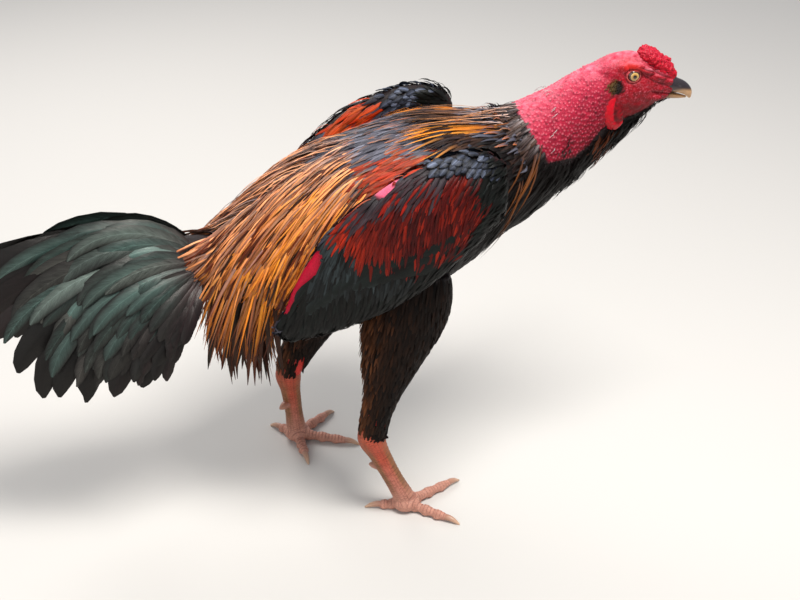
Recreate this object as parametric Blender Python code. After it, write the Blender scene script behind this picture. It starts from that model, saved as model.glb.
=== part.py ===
"""A game cock, life size, standing with its neck stretched forward and its wings held low.

Metres, +Z up. +X is the way the bird faces and +Y is its left. The floor is Z = 0. Sizes are
written from the floor point midway between the feet, and the empty "stand" then moves the
whole bird, so that the middle of its box stands over the origin.
"""

import math

import bmesh
import bpy
import numpy as np
from mathutils import Matrix, Vector
from mathutils.bvhtree import BVHTree

for old in list(bpy.data.objects):
    bpy.data.objects.remove(old)
parts = bpy.data.collections.new("game_cock")
cutters = bpy.data.collections.new("cutters")
for group in (parts, cutters):
    bpy.context.scene.collection.children.link(group)

# Clearance between neighbouring pieces.
GAP = 0.0003
STAND_SHIFT = Vector((0.0197, 0.0, 0.0))
LEFT, RIGHT = 1, -1
SIDE_NAMES = {LEFT: "left", RIGHT: "right"}
UP = Vector((0, 0, 1))
ACROSS = Vector((0, 1, 0))

# Torso sections: distance forward, top height, bottom height, half width.
TORSO = (
    (-0.126, 0.2440, 0.2320, 0.006),
    (-0.112, 0.2530, 0.2170, 0.024),
    (-0.080, 0.2760, 0.2010, 0.043),
    (-0.040, 0.3030, 0.1890, 0.057),
    (0.005, 0.3230, 0.1840, 0.067),
    (0.048, 0.3330, 0.1900, 0.072),
    (0.084, 0.3350, 0.2060, 0.068),
    (0.112, 0.3330, 0.2260, 0.057),
    (0.134, 0.3260, 0.2480, 0.042),
    (0.148, 0.3160, 0.2700, 0.022),
)
TORSO_SQUARE = 2.3

# Neck sections: centre, radius above, radius below, half width.
NECK = (
    (0.112, 0.000, 0.284, 0.044, 0.050, 0.050),
    (0.150, -0.002, 0.300, 0.042, 0.045, 0.038),
    (0.185, -0.008, 0.322, 0.034, 0.038, 0.027),
    (0.212, -0.012, 0.342, 0.030, 0.034, 0.0205),
    (0.236, -0.016, 0.356, 0.018, 0.028, 0.0170),
    (0.250, -0.019, 0.362, 0.010, 0.023, 0.0135),
    (0.262, -0.021, 0.361, 0.004, 0.014, 0.0090),
    (0.267, -0.022, 0.357, 0.002, 0.006, 0.0040),
)
# The neck is cut square to this line, at the ends of the cape, of the bare skin and at the head.
NECK_LINE = Vector((0.84, -0.10, 0.53)).normalized()
CAPE_CUT = Vector((0.138, -0.001, 0.294))
BARE_CUT = Vector((0.176, -0.006, 0.314))
HEAD_CUT = Vector((0.212, -0.013, 0.343))
# The back is cut in front of the saddle and in front of the tail.
SADDLE_CUT = Vector((0.020, 0.0, 0.262))
SADDLE_LINE = Vector((1.0, 0.0, 0.30)).normalized()
TAIL_CUT = Vector((-0.108, 0.0, 0.238))
TAIL_LINE = Vector((1.0, 0.0, 0.12)).normalized()

# The head has a frame of its own, turned a little to the bird's right and nodding.
HEAD_PLACE = Vector((0.231, -0.016, 0.366))
HEAD_TURN = math.radians(-12)
HEAD_NOD = math.radians(12)
# Skull sections in the head's frame: forward, top, bottom, half width.
SKULL = (
    (-0.036, -0.0040, -0.0140, 0.0060),
    (-0.028, 0.0000, -0.0220, 0.0120),
    (-0.0185, 0.0088, -0.0280, 0.0148),
    (-0.008, 0.0140, -0.0310, 0.0158),
    (0.002, 0.0158, -0.0310, 0.0155),
    (0.014, 0.0130, -0.0280, 0.0130),
    (0.026, 0.0078, -0.0225, 0.0100),
    (0.036, 0.0028, -0.0170, 0.0072),
    (0.041, 0.0000, -0.0130, 0.0045),
)
# The eyes, each in a lid ring under a brow.
EYE = Vector((0.0012, 0.0094, 0.0006))
EYE_RADIUS = 0.0070
EYE_MESH = {"segments": 14, "rings": 8}
LID_OUT = 0.0052
LID_HALF_LONG = 0.0062
LID_HALF_HIGH = 0.0054
LID_RADIUS = 0.0015
BROW_CENTRE = Vector((0.0010, 0.0137, 0.0006))
BROW_HALF_LONG = 0.0098
BROW_HALF_HIGH = 0.0088
BROW_RADIUS = 0.0022
BROW_ENDS = (25, 155)
# The ear: a low rim round a shallow cup.
EAR = Vector((-0.0105, 0.0145, -0.0120))
EAR_HALF_LONG = 0.0046
EAR_HALF_HIGH = 0.0050
EAR_RIM = 0.0014
EAR_CUP = (0.0034, 0.0030, 0.0038)
EAR_CUP_OUT = 0.0018
# The beak starts at this plane, and the mouth line runs back into the head.
FACE_CUT = Vector((0.0378, 0.0, -0.006))
FACE_LINE = Vector((0.94, 0.0, -0.34)).normalized()
MOUTH_BACK = 0.026
MOUTH_FRONT = 0.044
MOUTH_LEVEL = -0.0108
MOUTH_OPEN = 0.0009
BEAK_WIDE = 0.030
# Beak sections: centre, rise, drop, half width.
UPPER_BEAK = (
    (0.030, 0.0, -0.0040, 0.0085, 0.0060, 0.0078),
    (0.040, 0.0, -0.0050, 0.0068, 0.0055, 0.0064),
    (0.047, 0.0, -0.0058, 0.0058, 0.0045, 0.0050),
    (0.0525, 0.0, -0.0085, 0.0042, 0.0032, 0.0032),
    (0.0560, 0.0, -0.0125, 0.0012, 0.0012, 0.0010),
)
LOWER_BEAK = (
    (0.026, 0.0, -0.0140, 0.0030, 0.0035, 0.0062),
    (0.038, 0.0, -0.0135, 0.0025, 0.0028, 0.0050),
    (0.046, 0.0, -0.0130, 0.0018, 0.0020, 0.0032),
    (0.0525, 0.0, -0.0126, 0.0008, 0.0008, 0.0014),
)
# The upper beak's edge is flat as far as its hook, which passes in front of the lower beak.
HOOK_START = 0.051
LIP_DEEP = 0.010
NOSTRIL = Vector((0.0425, 0.0050, -0.0030))
NOSTRIL_RADII = (0.0022, 0.0012, 0.0008)
# Knobs of the comb: forward, sideways, up, radius. A knob off the middle has a twin.
COMB = (
    (0.0085, 0.0, 0.0185, 0.0054),
    (0.0140, 0.0, 0.0180, 0.0052),
    (0.0205, 0.0, 0.0145, 0.0052),
    (0.0275, 0.0, 0.0130, 0.0054),
    (0.0330, 0.0, 0.0072, 0.0044),
    (0.0376, 0.0, 0.0036, 0.0032),
    (0.0086, 0.0054, 0.0152, 0.0044),
    (0.0156, 0.0058, 0.0128, 0.0046),
    (0.0230, 0.0053, 0.0096, 0.0043),
    (0.0300, 0.0045, 0.0060, 0.0038),
)
# Ear lobe sections: centre, radius fore and aft, radius across.
LOBE = (
    (-0.0130, 0.0140, -0.0140, 0.0034, 0.0024),
    (-0.0120, 0.0168, -0.0210, 0.0062, 0.0032),
    (-0.0098, 0.0192, -0.0300, 0.0070, 0.0036),
    (-0.0070, 0.0194, -0.0380, 0.0066, 0.0034),
    (-0.0055, 0.0178, -0.0445, 0.0034, 0.0022),
)

# Wing sections, on the left side: centre, half chord, half thickness.
WING = (
    (0.108, 0.069, 0.308, 0.012, 0.007),
    (0.098, 0.075, 0.310, 0.027, 0.014),
    (0.074, 0.080, 0.304, 0.037, 0.016),
    (0.038, 0.082, 0.284, 0.044, 0.015),
    (0.000, 0.079, 0.255, 0.043, 0.012),
    (-0.036, 0.072, 0.224, 0.031, 0.009),
    (-0.066, 0.063, 0.194, 0.010, 0.004),
)
WING_SQUARE = 2.3
WING_TILT = math.radians(14)

# Tail stump sections, as the neck's, and the place that the tail feathers spread from.
TAIL_STUMP = (
    (-0.100, 0.0, 0.236, 0.014, 0.018, 0.020),
    (-0.120, 0.0, 0.235, 0.020, 0.024, 0.019),
    (-0.138, 0.0, 0.233, 0.020, 0.026, 0.014),
    (-0.152, 0.0, 0.231, 0.010, 0.014, 0.007),
)
TAIL_ROOT = Vector((-0.116, 0.0, 0.236))
# Tail feathers of one side: angle above the level at the root, bend, length, reach outward, half width.
TAIL_FEATHERS = (
    (20, -60, 0.204, 0.010, 0.0145),
    (10, -46, 0.196, 0.016, 0.0139),
    (-4, -34, 0.178, 0.020, 0.0133),
    (-18, -26, 0.162, 0.024, 0.0127),
    (-32, -18, 0.140, 0.028, 0.0121),
    (-46, -14, 0.114, 0.032, 0.0115),
    (-58, -10, 0.088, 0.034, 0.0109),
)
TAIL_COVERTS = (
    (30, -60, 0.110, 0.010, 0.0120),
    (12, -44, 0.098, 0.022, 0.0120),
    (-8, -30, 0.092, 0.028, 0.0120),
    (-28, -20, 0.082, 0.032, 0.0120),
    (-48, -12, 0.066, 0.034, 0.0120),
)
# Each tail feather lies this far outside the one above it, and the coverts outside them all.
TAIL_LAYER = 0.0012
TAIL_INNERMOST = 0.002
COVERTS_OUT = 0.0095
TAIL_LEAN = math.radians(22)
TAIL_VANE_THICK = 0.0008
TAIL_CAMBER = 0.10

# Outlines of a vane: share of the length, share of the half width.
NARROW = ((0.0, 0.50), (0.28, 0.90), (0.60, 1.0), (0.86, 0.66), (1.0, 0.16))
BROAD = ((0.0, 0.40), (0.25, 0.80), (0.52, 1.0), (0.78, 0.96), (0.93, 0.66), (1.0, 0.22))
# How vanes lie on a skin: outline, half width, rise per length, turn down in each 20 mm.
SADDLE_VANE = {"outline": NARROW, "half": 0.0050, "slope": 0.045, "droop": 0.06}
HACKLE_VANE = {"outline": NARROW, "half": 0.0055, "slope": 0.045, "droop": 0.08}
WING_VANE = {"outline": BROAD, "slope": 0.05, "droop": 0.0}
DROOP_STEP = 0.02
VANE_THICK = 0.0007
VANE_ROOT_DEPTH = 0.0025
# A vane starts this far off the skin, or further by steps where it would touch another piece.
LIFT_FIRST = 0.0006
LIFT_STEP = 0.0007
LIFT_TRIES = 8
# A vane that passes over a hollow sinks towards it, if the hollow is no deeper than this.
HUG_DEPTH = 0.012
HUG_SHARE = 0.35
# Saddle rows: distance forward, upper length, length added on the flank, last place down the flank.
SADDLE_ROWS = (
    (0.004, 0.092, 0.008, 48),
    (-0.026, 0.092, 0.022, 62),
    (-0.056, 0.084, 0.040, 84),
    (-0.084, 0.060, 0.058, 98),
)
SADDLE_FIRST = 12
SADDLE_STAGGER = 8
SADDLE_SPACING = 17
SADDLE_FLOW = Vector((-0.60, 0.26, -0.76))
SADDLE_AXIS_HEIGHT = 0.262
SADDLE_AXIS_SLOPE = 0.5
SADDLE_SET_BACK = 0.007
SADDLE_ROOT_LEAN = 0.30
SADDLE_ROOT_OUT = 0.09
# Hackle rows: place between the cuts of the cape, length.
HACKLE_ROWS = ((0.75, 0.040), (0.30, 0.044))
HACKLE_COUNT = 11
HACKLE_FIRST = -150
HACKLE_SPACING = 30
HACKLE_FLOW = -NECK_LINE - UP * 0.25
HACKLE_ROOT_OUT = 0.07
# Wing tiers: place from shoulder to tip, length, half width, places across (1 is the upper edge).
WING_TIERS = (
    (0.17, 0.036, 0.0072, (0.72, 0.20, -0.34)),
    (0.32, 0.044, 0.0080, (0.72, 0.26, -0.20, -0.66)),
    (0.45, 0.060, 0.0080, (0.76, 0.38, 0.0, -0.38, -0.76)),
    (0.58, 0.070, 0.0078, (0.62, 0.20, -0.22, -0.64)),
    (0.72, 0.060, 0.0068, (0.50, 0.0, -0.50)),
)
WING_STATIONS = 40
WING_ROOT_OUT = 0.03
WING_SET_BACK = 0.005
WING_FAN = 0.12

# Leg sections: centre, half width fore and aft, half width across. Toes: bearing, length.
LEGS = {
    RIGHT: {
        "thigh": (
            (0.046, -0.050, 0.228, 0.030, 0.026),
            (0.038, -0.055, 0.196, 0.034, 0.025),
            (0.025, -0.060, 0.160, 0.026, 0.020),
            (0.012, -0.063, 0.124, 0.018, 0.014),
            (0.005, -0.064, 0.098, 0.015, 0.012),
            (0.005, -0.064, 0.082, 0.012, 0.010),
        ),
        "shank": (
            (0.002, -0.064, 0.092, 0.0085, 0.0075),
            (0.003, -0.064, 0.080, 0.0115, 0.0095),
            (0.010, -0.064, 0.062, 0.0090, 0.0075),
            (0.022, -0.065, 0.034, 0.0080, 0.0070),
            (0.031, -0.065, 0.014, 0.0090, 0.0085),
        ),
        "foot": Vector((0.033, -0.065, 0.0)),
        "toes": {
            "middle": (24, 0.062),
            "outer": (-42, 0.052),
            "inner": (86, 0.046),
            "hind": (164, 0.036),
        },
    },
    LEFT: {
        "thigh": (
            (0.022, 0.046, 0.224, 0.030, 0.026),
            (0.010, 0.048, 0.190, 0.032, 0.025),
            (-0.010, 0.049, 0.152, 0.024, 0.020),
            (-0.030, 0.049, 0.116, 0.017, 0.014),
            (-0.042, 0.049, 0.094, 0.014, 0.012),
            (-0.044, 0.049, 0.082, 0.012, 0.010),
        ),
        "shank": (
            (-0.046, 0.049, 0.092, 0.0085, 0.0075),
            (-0.046, 0.050, 0.080, 0.0115, 0.0095),
            (-0.044, 0.053, 0.062, 0.0090, 0.0075),
            (-0.041, 0.058, 0.034, 0.0080, 0.0070),
            (-0.039, 0.062, 0.014, 0.0090, 0.0085),
        ),
        "foot": Vector((-0.038, 0.062, 0.0)),
        "toes": {
            "middle": (-26, 0.060),
            "outer": (38, 0.054),
            "inner": (-88, 0.044),
            "hind": (128, 0.034),
        },
    },
}
LIMB_SQUARE = 2.1
# The plates down the front of the shank, each with its lower edge standing proud.
SCUTES = 13
SCUTE_RAISE = 0.0006
SCUTE_SINK = 0.3
# The ball of the foot: radii and height of its middle. The floor presses it flat.
FOOT_PAD = (0.0120, 0.0115, 0.0088)
FOOT_PAD_HEIGHT = 0.0078
# Toe: share of its length, height of its middle line, share of the radius.
TOE = (
    (-0.10, 0.0085, 0.90),
    (0.14, 0.0070, 1.05),
    (0.38, 0.0048, 0.84),
    (0.50, 0.0050, 0.96),
    (0.68, 0.0042, 0.76),
    (0.80, 0.0042, 0.86),
    (1.0, 0.0036, 0.60),
)
TOE_RADIUS = 0.0052
# Claw: as the toe, from its own root to its tip, which rests on the floor.
CLAW = (
    (-0.25, 0.0036, 0.85),
    (0.1, 0.0040, 1.0),
    (0.5, 0.0032, 0.8),
    (0.85, 0.0011, 0.45),
    (1.0, 0.0004, 0.18),
)
CLAW_LENGTH = 0.013
CLAW_RADIUS = 0.0027
# Spur: share of its length, radius. It stands on the inner back of the shank.
SPUR = ((0.0, 0.0042), (0.5, 0.0038), (0.8, 0.0026), (1.0, 0.0010))
SPUR_START = 0.003
SPUR_LENGTH = 0.013

# Surface of each piece: colour, roughness. A name that has no side here fits both sides.
SURFACES = {
    "torso": ((0.020, 0.020, 0.022), 0.60),
    "saddle": ((0.380, 0.130, 0.020), 0.50),
    "hackle": ((0.050, 0.036, 0.030), 0.55),
    "neck": ((0.520, 0.070, 0.090), 0.60),
    "head": ((0.500, 0.030, 0.045), 0.55),
    "comb": ((0.560, 0.025, 0.040), 0.45),
    "beak_upper": ((0.060, 0.048, 0.045), 0.35),
    "beak_lower": ((0.110, 0.085, 0.070), 0.40),
    "lobe": ((0.650, 0.020, 0.030), 0.40),
    "eye": ((0.420, 0.220, 0.040), 0.10),
    "wing": ((0.130, 0.022, 0.014), 0.50),
    "tail": ((0.012, 0.030, 0.028), 0.40),
    "thigh": ((0.022, 0.019, 0.018), 0.60),
    "shank": ((0.420, 0.210, 0.150), 0.55),
    "foot": ((0.480, 0.270, 0.190), 0.60),
    "claw": ((0.380, 0.260, 0.190), 0.45),
    "spur": ((0.300, 0.190, 0.130), 0.45),
}
SMOOTH_BELOW = math.radians(40)


def into_parts(obj):
    """Moves an object that an operator added into the bird's collection."""
    for holder in list(obj.users_collection):
        holder.objects.unlink(obj)
    parts.objects.link(obj)
    return obj


def new_object(name, points, faces):
    mesh = bpy.data.meshes.new(name)
    mesh.from_pydata([tuple(point) for point in points], [], faces)
    obj = bpy.data.objects.new(name, mesh)
    parts.objects.link(obj)
    face_out(obj)
    return obj


def face_out(obj):
    mesh = bmesh.new()
    mesh.from_mesh(obj.data)
    bmesh.ops.recalc_face_normals(mesh, faces=mesh.faces)
    if mesh.calc_volume(signed=True) < 0:
        bmesh.ops.reverse_faces(mesh, faces=mesh.faces)
    mesh.to_mesh(obj.data)
    mesh.free()


def through(rows, count):
    """Count rows, evenly spaced along a smooth curve through the given rows."""
    rows = np.array(rows, float)
    last = len(rows) - 1
    found = []
    for t in np.linspace(0, last, count):
        i = min(int(t), last - 1)
        f = t - i
        a = rows[max(i - 1, 0)]
        b = rows[i]
        c = rows[i + 1]
        d = rows[min(i + 2, last)]
        square = (2 * a - 5 * b + 4 * c - d) * f**2
        cube = (3 * b - a - 3 * c + d) * f**3
        found.append(0.5 * (2 * b + (c - a) * f + square + cube))
    return np.array(found)


def direction_at(places, i):
    """The way that a row of places runs at its place i."""
    after = Vector(places[min(i + 1, len(places) - 1)][:3])
    before = Vector(places[max(i - 1, 0)][:3])
    return (after - before).normalized()


def section(centre, across, up, half_width, rise, drop, square, count):
    """Points round one section. Square 2 makes an ellipse, and more makes its corners fuller."""
    points = []
    for k in range(count):
        angle = 2 * math.pi * k / count
        c = math.cos(angle)
        s = math.sin(angle)
        x = math.copysign(abs(c) ** (2 / square), c) * half_width
        z = math.copysign(abs(s) ** (2 / square), s) * (rise if s > 0 else drop)
        points.append(centre + across * x + up * z)
    return points


def upright_sections(rows, stations, count, square):
    """Sections that stand upright, from rows of forward, top, bottom, half width."""
    sections = []
    for x, top, bottom, half in through(rows, stations):
        centre = Vector((x, 0, (top + bottom) / 2))
        rise = (top - bottom) / 2
        sections.append(section(centre, ACROSS, UP, half, rise, rise, square, count))
    return sections


def path_sections(rows, stations, count, square, hint):
    """Sections square to a path, from rows of centre, rise, drop, half width. Across follows the hint."""
    rows = through(rows, stations)
    sections = []
    for i, (x, y, z, rise, drop, half) in enumerate(rows):
        ahead = direction_at(rows, i)
        across = (hint - ahead * ahead.dot(hint)).normalized()
        up = ahead.cross(across)
        sections.append(section(Vector((x, y, z)), across, up, half, rise, drop, square, count))
    return sections


def loft(name, sections):
    """A closed body over a row of sections, with a point in the middle of each end."""
    count = len(sections[0])
    points = [point for ring in sections for point in ring]
    first = len(points)
    last = first + 1
    points += [sum(ring, Vector()) / count for ring in (sections[0], sections[-1])]
    faces = []
    for i in range(len(sections) - 1):
        for k in range(count):
            a = i * count + k
            b = i * count + (k + 1) % count
            faces.append((a, b, b + count, a + count))
    end = (len(sections) - 1) * count
    for k in range(count):
        faces.append((first, (k + 1) % count, k))
        faces.append((last, end + k, end + (k + 1) % count))
    return new_object(name, points, faces)


def ball(name, radii, place, segments, rings):
    bpy.ops.mesh.primitive_uv_sphere_add(segments=segments, ring_count=rings, radius=1)
    obj = into_parts(bpy.context.object)
    obj.name = name
    obj.data.transform(place @ Matrix.Diagonal((*radii, 1)))
    return obj


def block(size, place):
    bpy.ops.mesh.primitive_cube_add(size=1)
    obj = into_parts(bpy.context.object)
    obj.data.transform(place @ Matrix.Diagonal((*size, 1)))
    return obj


def side_ring(centre, half_long, half_high, radius, segments):
    """A ring of round tube that stands upright and faces sideways."""
    bpy.ops.mesh.primitive_torus_add(
        major_segments=segments, minor_segments=6, major_radius=half_long, minor_radius=radius
    )
    obj = into_parts(bpy.context.object)
    upright = Matrix.Rotation(math.radians(90), 4, "X")
    flatter = Matrix.Diagonal((1, 1, half_high / half_long, 1))
    obj.data.transform(Matrix.Translation(centre) @ flatter @ upright)
    return obj


def half_space(point, normal):
    """A large block that fills the side of a plane that the normal points to."""
    size = 1.2
    turn = normal.to_track_quat("Z", "Y").to_matrix().to_4x4()
    beyond = Matrix.Translation((0, 0, size / 2))
    return block((size, size, size), Matrix.Translation(point) @ turn @ beyond)


def grown_copy(obj, grow=GAP):
    """A copy of a closed body, its skin moved out, for cutting its shape and the gap from another."""
    twin = obj.copy()
    twin.data = obj.data.copy()
    parts.objects.link(twin)
    mesh = bmesh.new()
    mesh.from_mesh(twin.data)
    mesh.normal_update()
    moves = [vert.normal * grow for vert in mesh.verts]
    for vert, move in zip(mesh.verts, moves):
        vert.co += move
    mesh.to_mesh(twin.data)
    mesh.free()
    return twin


def evaluated_mesh(obj):
    graph = bpy.context.evaluated_depsgraph_get()
    return bpy.data.meshes.new_from_object(obj.evaluated_get(graph))


def is_closed(data):
    mesh = bmesh.new()
    mesh.from_mesh(data)
    closed = all(edge.is_manifold for edge in mesh.edges)
    mesh.free()
    return closed


def boolean(obj, others, operation):
    """Joins closed bodies to obj, or cuts them from it, and removes them.

    EXACT leaves an open edge in a few of these, such as vanes that lie almost flat on a skin,
    and those are made again with MANIFOLD.
    """
    for other in others:
        for holder in list(other.users_collection):
            holder.objects.unlink(other)
        cutters.objects.link(other)
    modifier = obj.modifiers.new(operation.title(), "BOOLEAN")
    modifier.operation = operation
    modifier.operand_type = "COLLECTION"
    modifier.collection = cutters
    made = evaluated_mesh(obj)
    if not is_closed(made):
        modifier.solver = "MANIFOLD"
        made = evaluated_mesh(obj)
    obj.modifiers.clear()
    obj.data = made
    for other in others:
        bpy.data.objects.remove(other)
    keep_largest(obj)


def keep_largest(obj):
    """Removes the crumbs that a cut leaves beside the main body."""
    mesh = bmesh.new()
    mesh.from_mesh(obj.data)
    left = set(mesh.verts)
    shells = []
    while left:
        stack = [left.pop()]
        shell = set(stack)
        while stack:
            near = {vert for edge in stack.pop().link_edges for vert in edge.verts} & left
            left -= near
            shell |= near
            stack += near
        shells.append(shell)
    shells.sort(key=box_volume)
    for shell in shells[:-1]:
        bmesh.ops.delete(mesh, geom=list(shell), context="VERTS")
    mesh.to_mesh(obj.data)
    mesh.free()


def box_volume(shell):
    low = [min(vert.co[i] for vert in shell) for i in range(3)]
    high = [max(vert.co[i] for vert in shell) for i in range(3)]
    return math.prod(b - a for a, b in zip(low, high))


def slice_of(name, whole, behind, ahead):
    """The stretch of a body between two planes, each a point and a normal that looks ahead, or None."""
    piece = whole.copy()
    piece.data = whole.data.copy()
    piece.name = name
    parts.objects.link(piece)
    ends = []
    if behind:
        point, normal = behind
        ends.append(half_space(point + normal * GAP / 2, -normal))
    if ahead:
        point, normal = ahead
        ends.append(half_space(point - normal * GAP / 2, normal))
    boolean(piece, ends, "DIFFERENCE")
    return piece


def mirrored(place, side):
    return Vector((place.x, place.y * side, place.z))


def head_frame():
    turn = Matrix.Rotation(HEAD_TURN, 4, "Z") @ Matrix.Rotation(HEAD_NOD, 4, "Y")
    return Matrix.Translation(HEAD_PLACE) @ turn


def in_head(place):
    return head_frame() @ Matrix.Translation(place)


def build_brow(side):
    rows = []
    for share in np.linspace(0, 1, 7):
        angle = math.radians(np.interp(share, (0, 1), BROW_ENDS))
        x = BROW_CENTRE.x + BROW_HALF_LONG * math.cos(angle)
        y = BROW_CENTRE.y - 0.003 * abs(share - 0.5)
        z = BROW_CENTRE.z + BROW_HALF_HIGH * math.sin(angle)
        radius = BROW_RADIUS * (0.55 + 0.45 * math.sin(math.pi * share))
        rows.append((x, side * y, z, radius, radius, radius))
    hint = Vector((0, side, 0.2))
    return loft("brow", path_sections(rows, stations=6, count=6, square=2.0, hint=hint))


def build_skull():
    """The skull with its brows, lid rings and ear rims, before the eyes and the mouth are cut."""
    skull = loft("skull", upright_sections(SKULL, stations=14, count=20, square=2.2))
    added = []
    for side in (LEFT, RIGHT):
        lid = mirrored(EYE + ACROSS * LID_OUT, side)
        added.append(side_ring(lid, LID_HALF_LONG, LID_HALF_HIGH, LID_RADIUS, 14))
        added.append(side_ring(mirrored(EAR, side), EAR_HALF_LONG, EAR_HALF_HIGH, EAR_RIM, 10))
        added.append(build_brow(side))
    boolean(skull, added, "UNION")
    skull.data.transform(head_frame())
    return skull


def build_flesh():
    """Torso, neck and skull as one body, which the neck's and the back's planes then cut."""
    torso = loft("torso", upright_sections(TORSO, stations=18, count=20, square=TORSO_SQUARE))
    neck = loft("neck", path_sections(NECK, stations=13, count=18, square=LIMB_SQUARE, hint=ACROSS))
    boolean(torso, [neck, build_skull()], "UNION")
    torso.name = "flesh"
    return torso


def cut_face(head):
    """Hollows for the eyes and the ears, the mouth, and the seat of the beak."""
    frame = head_frame()
    seat = frame @ (FACE_CUT - FACE_LINE * GAP / 2)
    cuts = [half_space(seat, frame.to_3x3() @ FACE_LINE)]
    for side in (LEFT, RIGHT):
        cuts.append(ball("orbit", (EYE_RADIUS + GAP,) * 3, in_head(mirrored(EYE, side)), **EYE_MESH))
        cup = mirrored(EAR + ACROSS * EAR_CUP_OUT, side)
        cuts.append(ball("cup", EAR_CUP, in_head(cup), segments=8, rings=6))
    mouth = Vector(((MOUTH_BACK + MOUTH_FRONT) / 2, 0, MOUTH_LEVEL))
    cuts.append(block((MOUTH_FRONT - MOUTH_BACK, BEAK_WIDE, MOUTH_OPEN), in_head(mouth)))
    boolean(head, cuts, "DIFFERENCE")


def build_eyes():
    for side in (LEFT, RIGHT):
        place = in_head(mirrored(EYE, side))
        ball("eye_" + SIDE_NAMES[side], (EYE_RADIUS,) * 3, place, **EYE_MESH)


def lip_cutter(front, level):
    """A block with one face along the mouth line, from behind the beak as far as front."""
    back = FACE_CUT.x - BEAK_WIDE / 2
    middle = Vector(((back + front) / 2, 0, level))
    return block((front - back, BEAK_WIDE, LIP_DEEP), in_head(middle))


def build_beak():
    frame = head_frame()
    seat = frame @ (FACE_CUT + FACE_LINE * GAP / 2)
    back = frame.to_3x3() @ -FACE_LINE
    upper = loft("beak_upper", path_sections(UPPER_BEAK, stations=9, count=12, square=2.0, hint=ACROSS))
    lower = loft("beak_lower", path_sections(LOWER_BEAK, stations=9, count=12, square=2.0, hint=ACROSS))
    for half in (upper, lower):
        half.data.transform(frame)
    cuts = [half_space(seat, back)]
    cuts.append(lip_cutter(HOOK_START, MOUTH_LEVEL - (LIP_DEEP - GAP) / 2))
    for side in (LEFT, RIGHT):
        cuts.append(ball("nostril", NOSTRIL_RADII, in_head(mirrored(NOSTRIL, side)), segments=10, rings=6))
    boolean(upper, cuts, "DIFFERENCE")
    beyond_beak = HOOK_START + BEAK_WIDE / 2
    lip = lip_cutter(beyond_beak, MOUTH_LEVEL + (LIP_DEEP - GAP) / 2)
    boolean(lower, [half_space(seat, back), lip, grown_copy(upper)], "DIFFERENCE")
    return upper


def build_comb(head, upper_beak):
    knobs = []
    for x, y, z, radius in COMB:
        for side in (LEFT, RIGHT) if y else (LEFT,):
            place = in_head(Vector((x, y * side, z)))
            knobs.append(ball("comb", (radius,) * 3, place, segments=7, rings=5))
    comb = knobs.pop(0)
    boolean(comb, knobs, "UNION")
    boolean(comb, [grown_copy(head), grown_copy(upper_beak)], "DIFFERENCE")
    comb.name = "comb"


def build_lobe(side, around):
    rows = [(x, side * y, z, across, across, along) for x, y, z, along, across in LOBE]
    hint = Vector((1, 0, 0))
    lobe = loft("lobe_" + SIDE_NAMES[side], path_sections(rows, stations=10, count=12, square=2.0, hint=hint))
    lobe.data.transform(head_frame())
    boolean(lobe, [grown_copy(other) for other in around], "DIFFERENCE")


def wing_axes(rows, i, side):
    """Outward, upward and backward along a folded wing at its section i."""
    back = mirrored(direction_at(rows, i), side)
    out = Vector((0, side * math.cos(WING_TILT), math.sin(WING_TILT)))
    out = (out - back * back.dot(out)).normalized()
    up = out.cross(back) * side
    return out, up, back


def build_wing(side, around):
    rows = through(WING, 12)
    sections = []
    for i, (x, y, z, chord, thick) in enumerate(rows):
        out, up, _ = wing_axes(rows, i, side)
        centre = Vector((x, side * y, z))
        sections.append(section(centre, out, up, thick, chord, chord, WING_SQUARE, 12))
    wing = loft("wing_" + SIDE_NAMES[side], sections)
    boolean(wing, [grown_copy(other) for other in around], "DIFFERENCE")
    add_wing_feathers(wing, side, around)
    return wing


def build_thigh(name, rows, around):
    full = [(x, y, z, fore, fore, across) for x, y, z, fore, across in rows]
    thigh = loft(name, path_sections(full, stations=11, count=12, square=LIMB_SQUARE, hint=ACROSS))
    boolean(thigh, [grown_copy(other) for other in around], "DIFFERENCE")
    return thigh


def build_shank(name, rows, around):
    """The bare shank, its front covered by plates that each stand proud at their lower edge."""
    full = [(x, y, z, fore, fore, across) for x, y, z, fore, across in rows]
    sections = path_sections(full, stations=2 * SCUTES, count=10, square=LIMB_SQUARE, hint=ACROSS)
    for i, points in enumerate(sections[2:-2]):
        middle = sum(points, Vector()) / len(points)
        for point in points:
            outward = (point - middle).normalized()
            front = max(0.0, outward.x)
            point += outward * SCUTE_RAISE * front * (1 if i % 2 else -SCUTE_SINK)
    shank = loft(name, sections)
    boolean(shank, [grown_copy(other) for other in around], "DIFFERENCE")
    return shank


def digit(name, foot, bearing, start, reach, shape, radius, stations, count):
    """A toe or a claw along its bearing, from rows of share, height of its middle, share of the radius."""
    way = Vector((math.cos(math.radians(bearing)), math.sin(math.radians(bearing)), 0))
    rows = []
    for share, height, wide in shape:
        place = foot + way * (start + reach * share) + UP * height
        rows.append((*place, *(radius * wide,) * 3))
    return loft(name, path_sections(rows, stations, count, 2.0, UP.cross(way)))


def floor_cutter():
    return half_space(Vector(), -UP)


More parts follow.
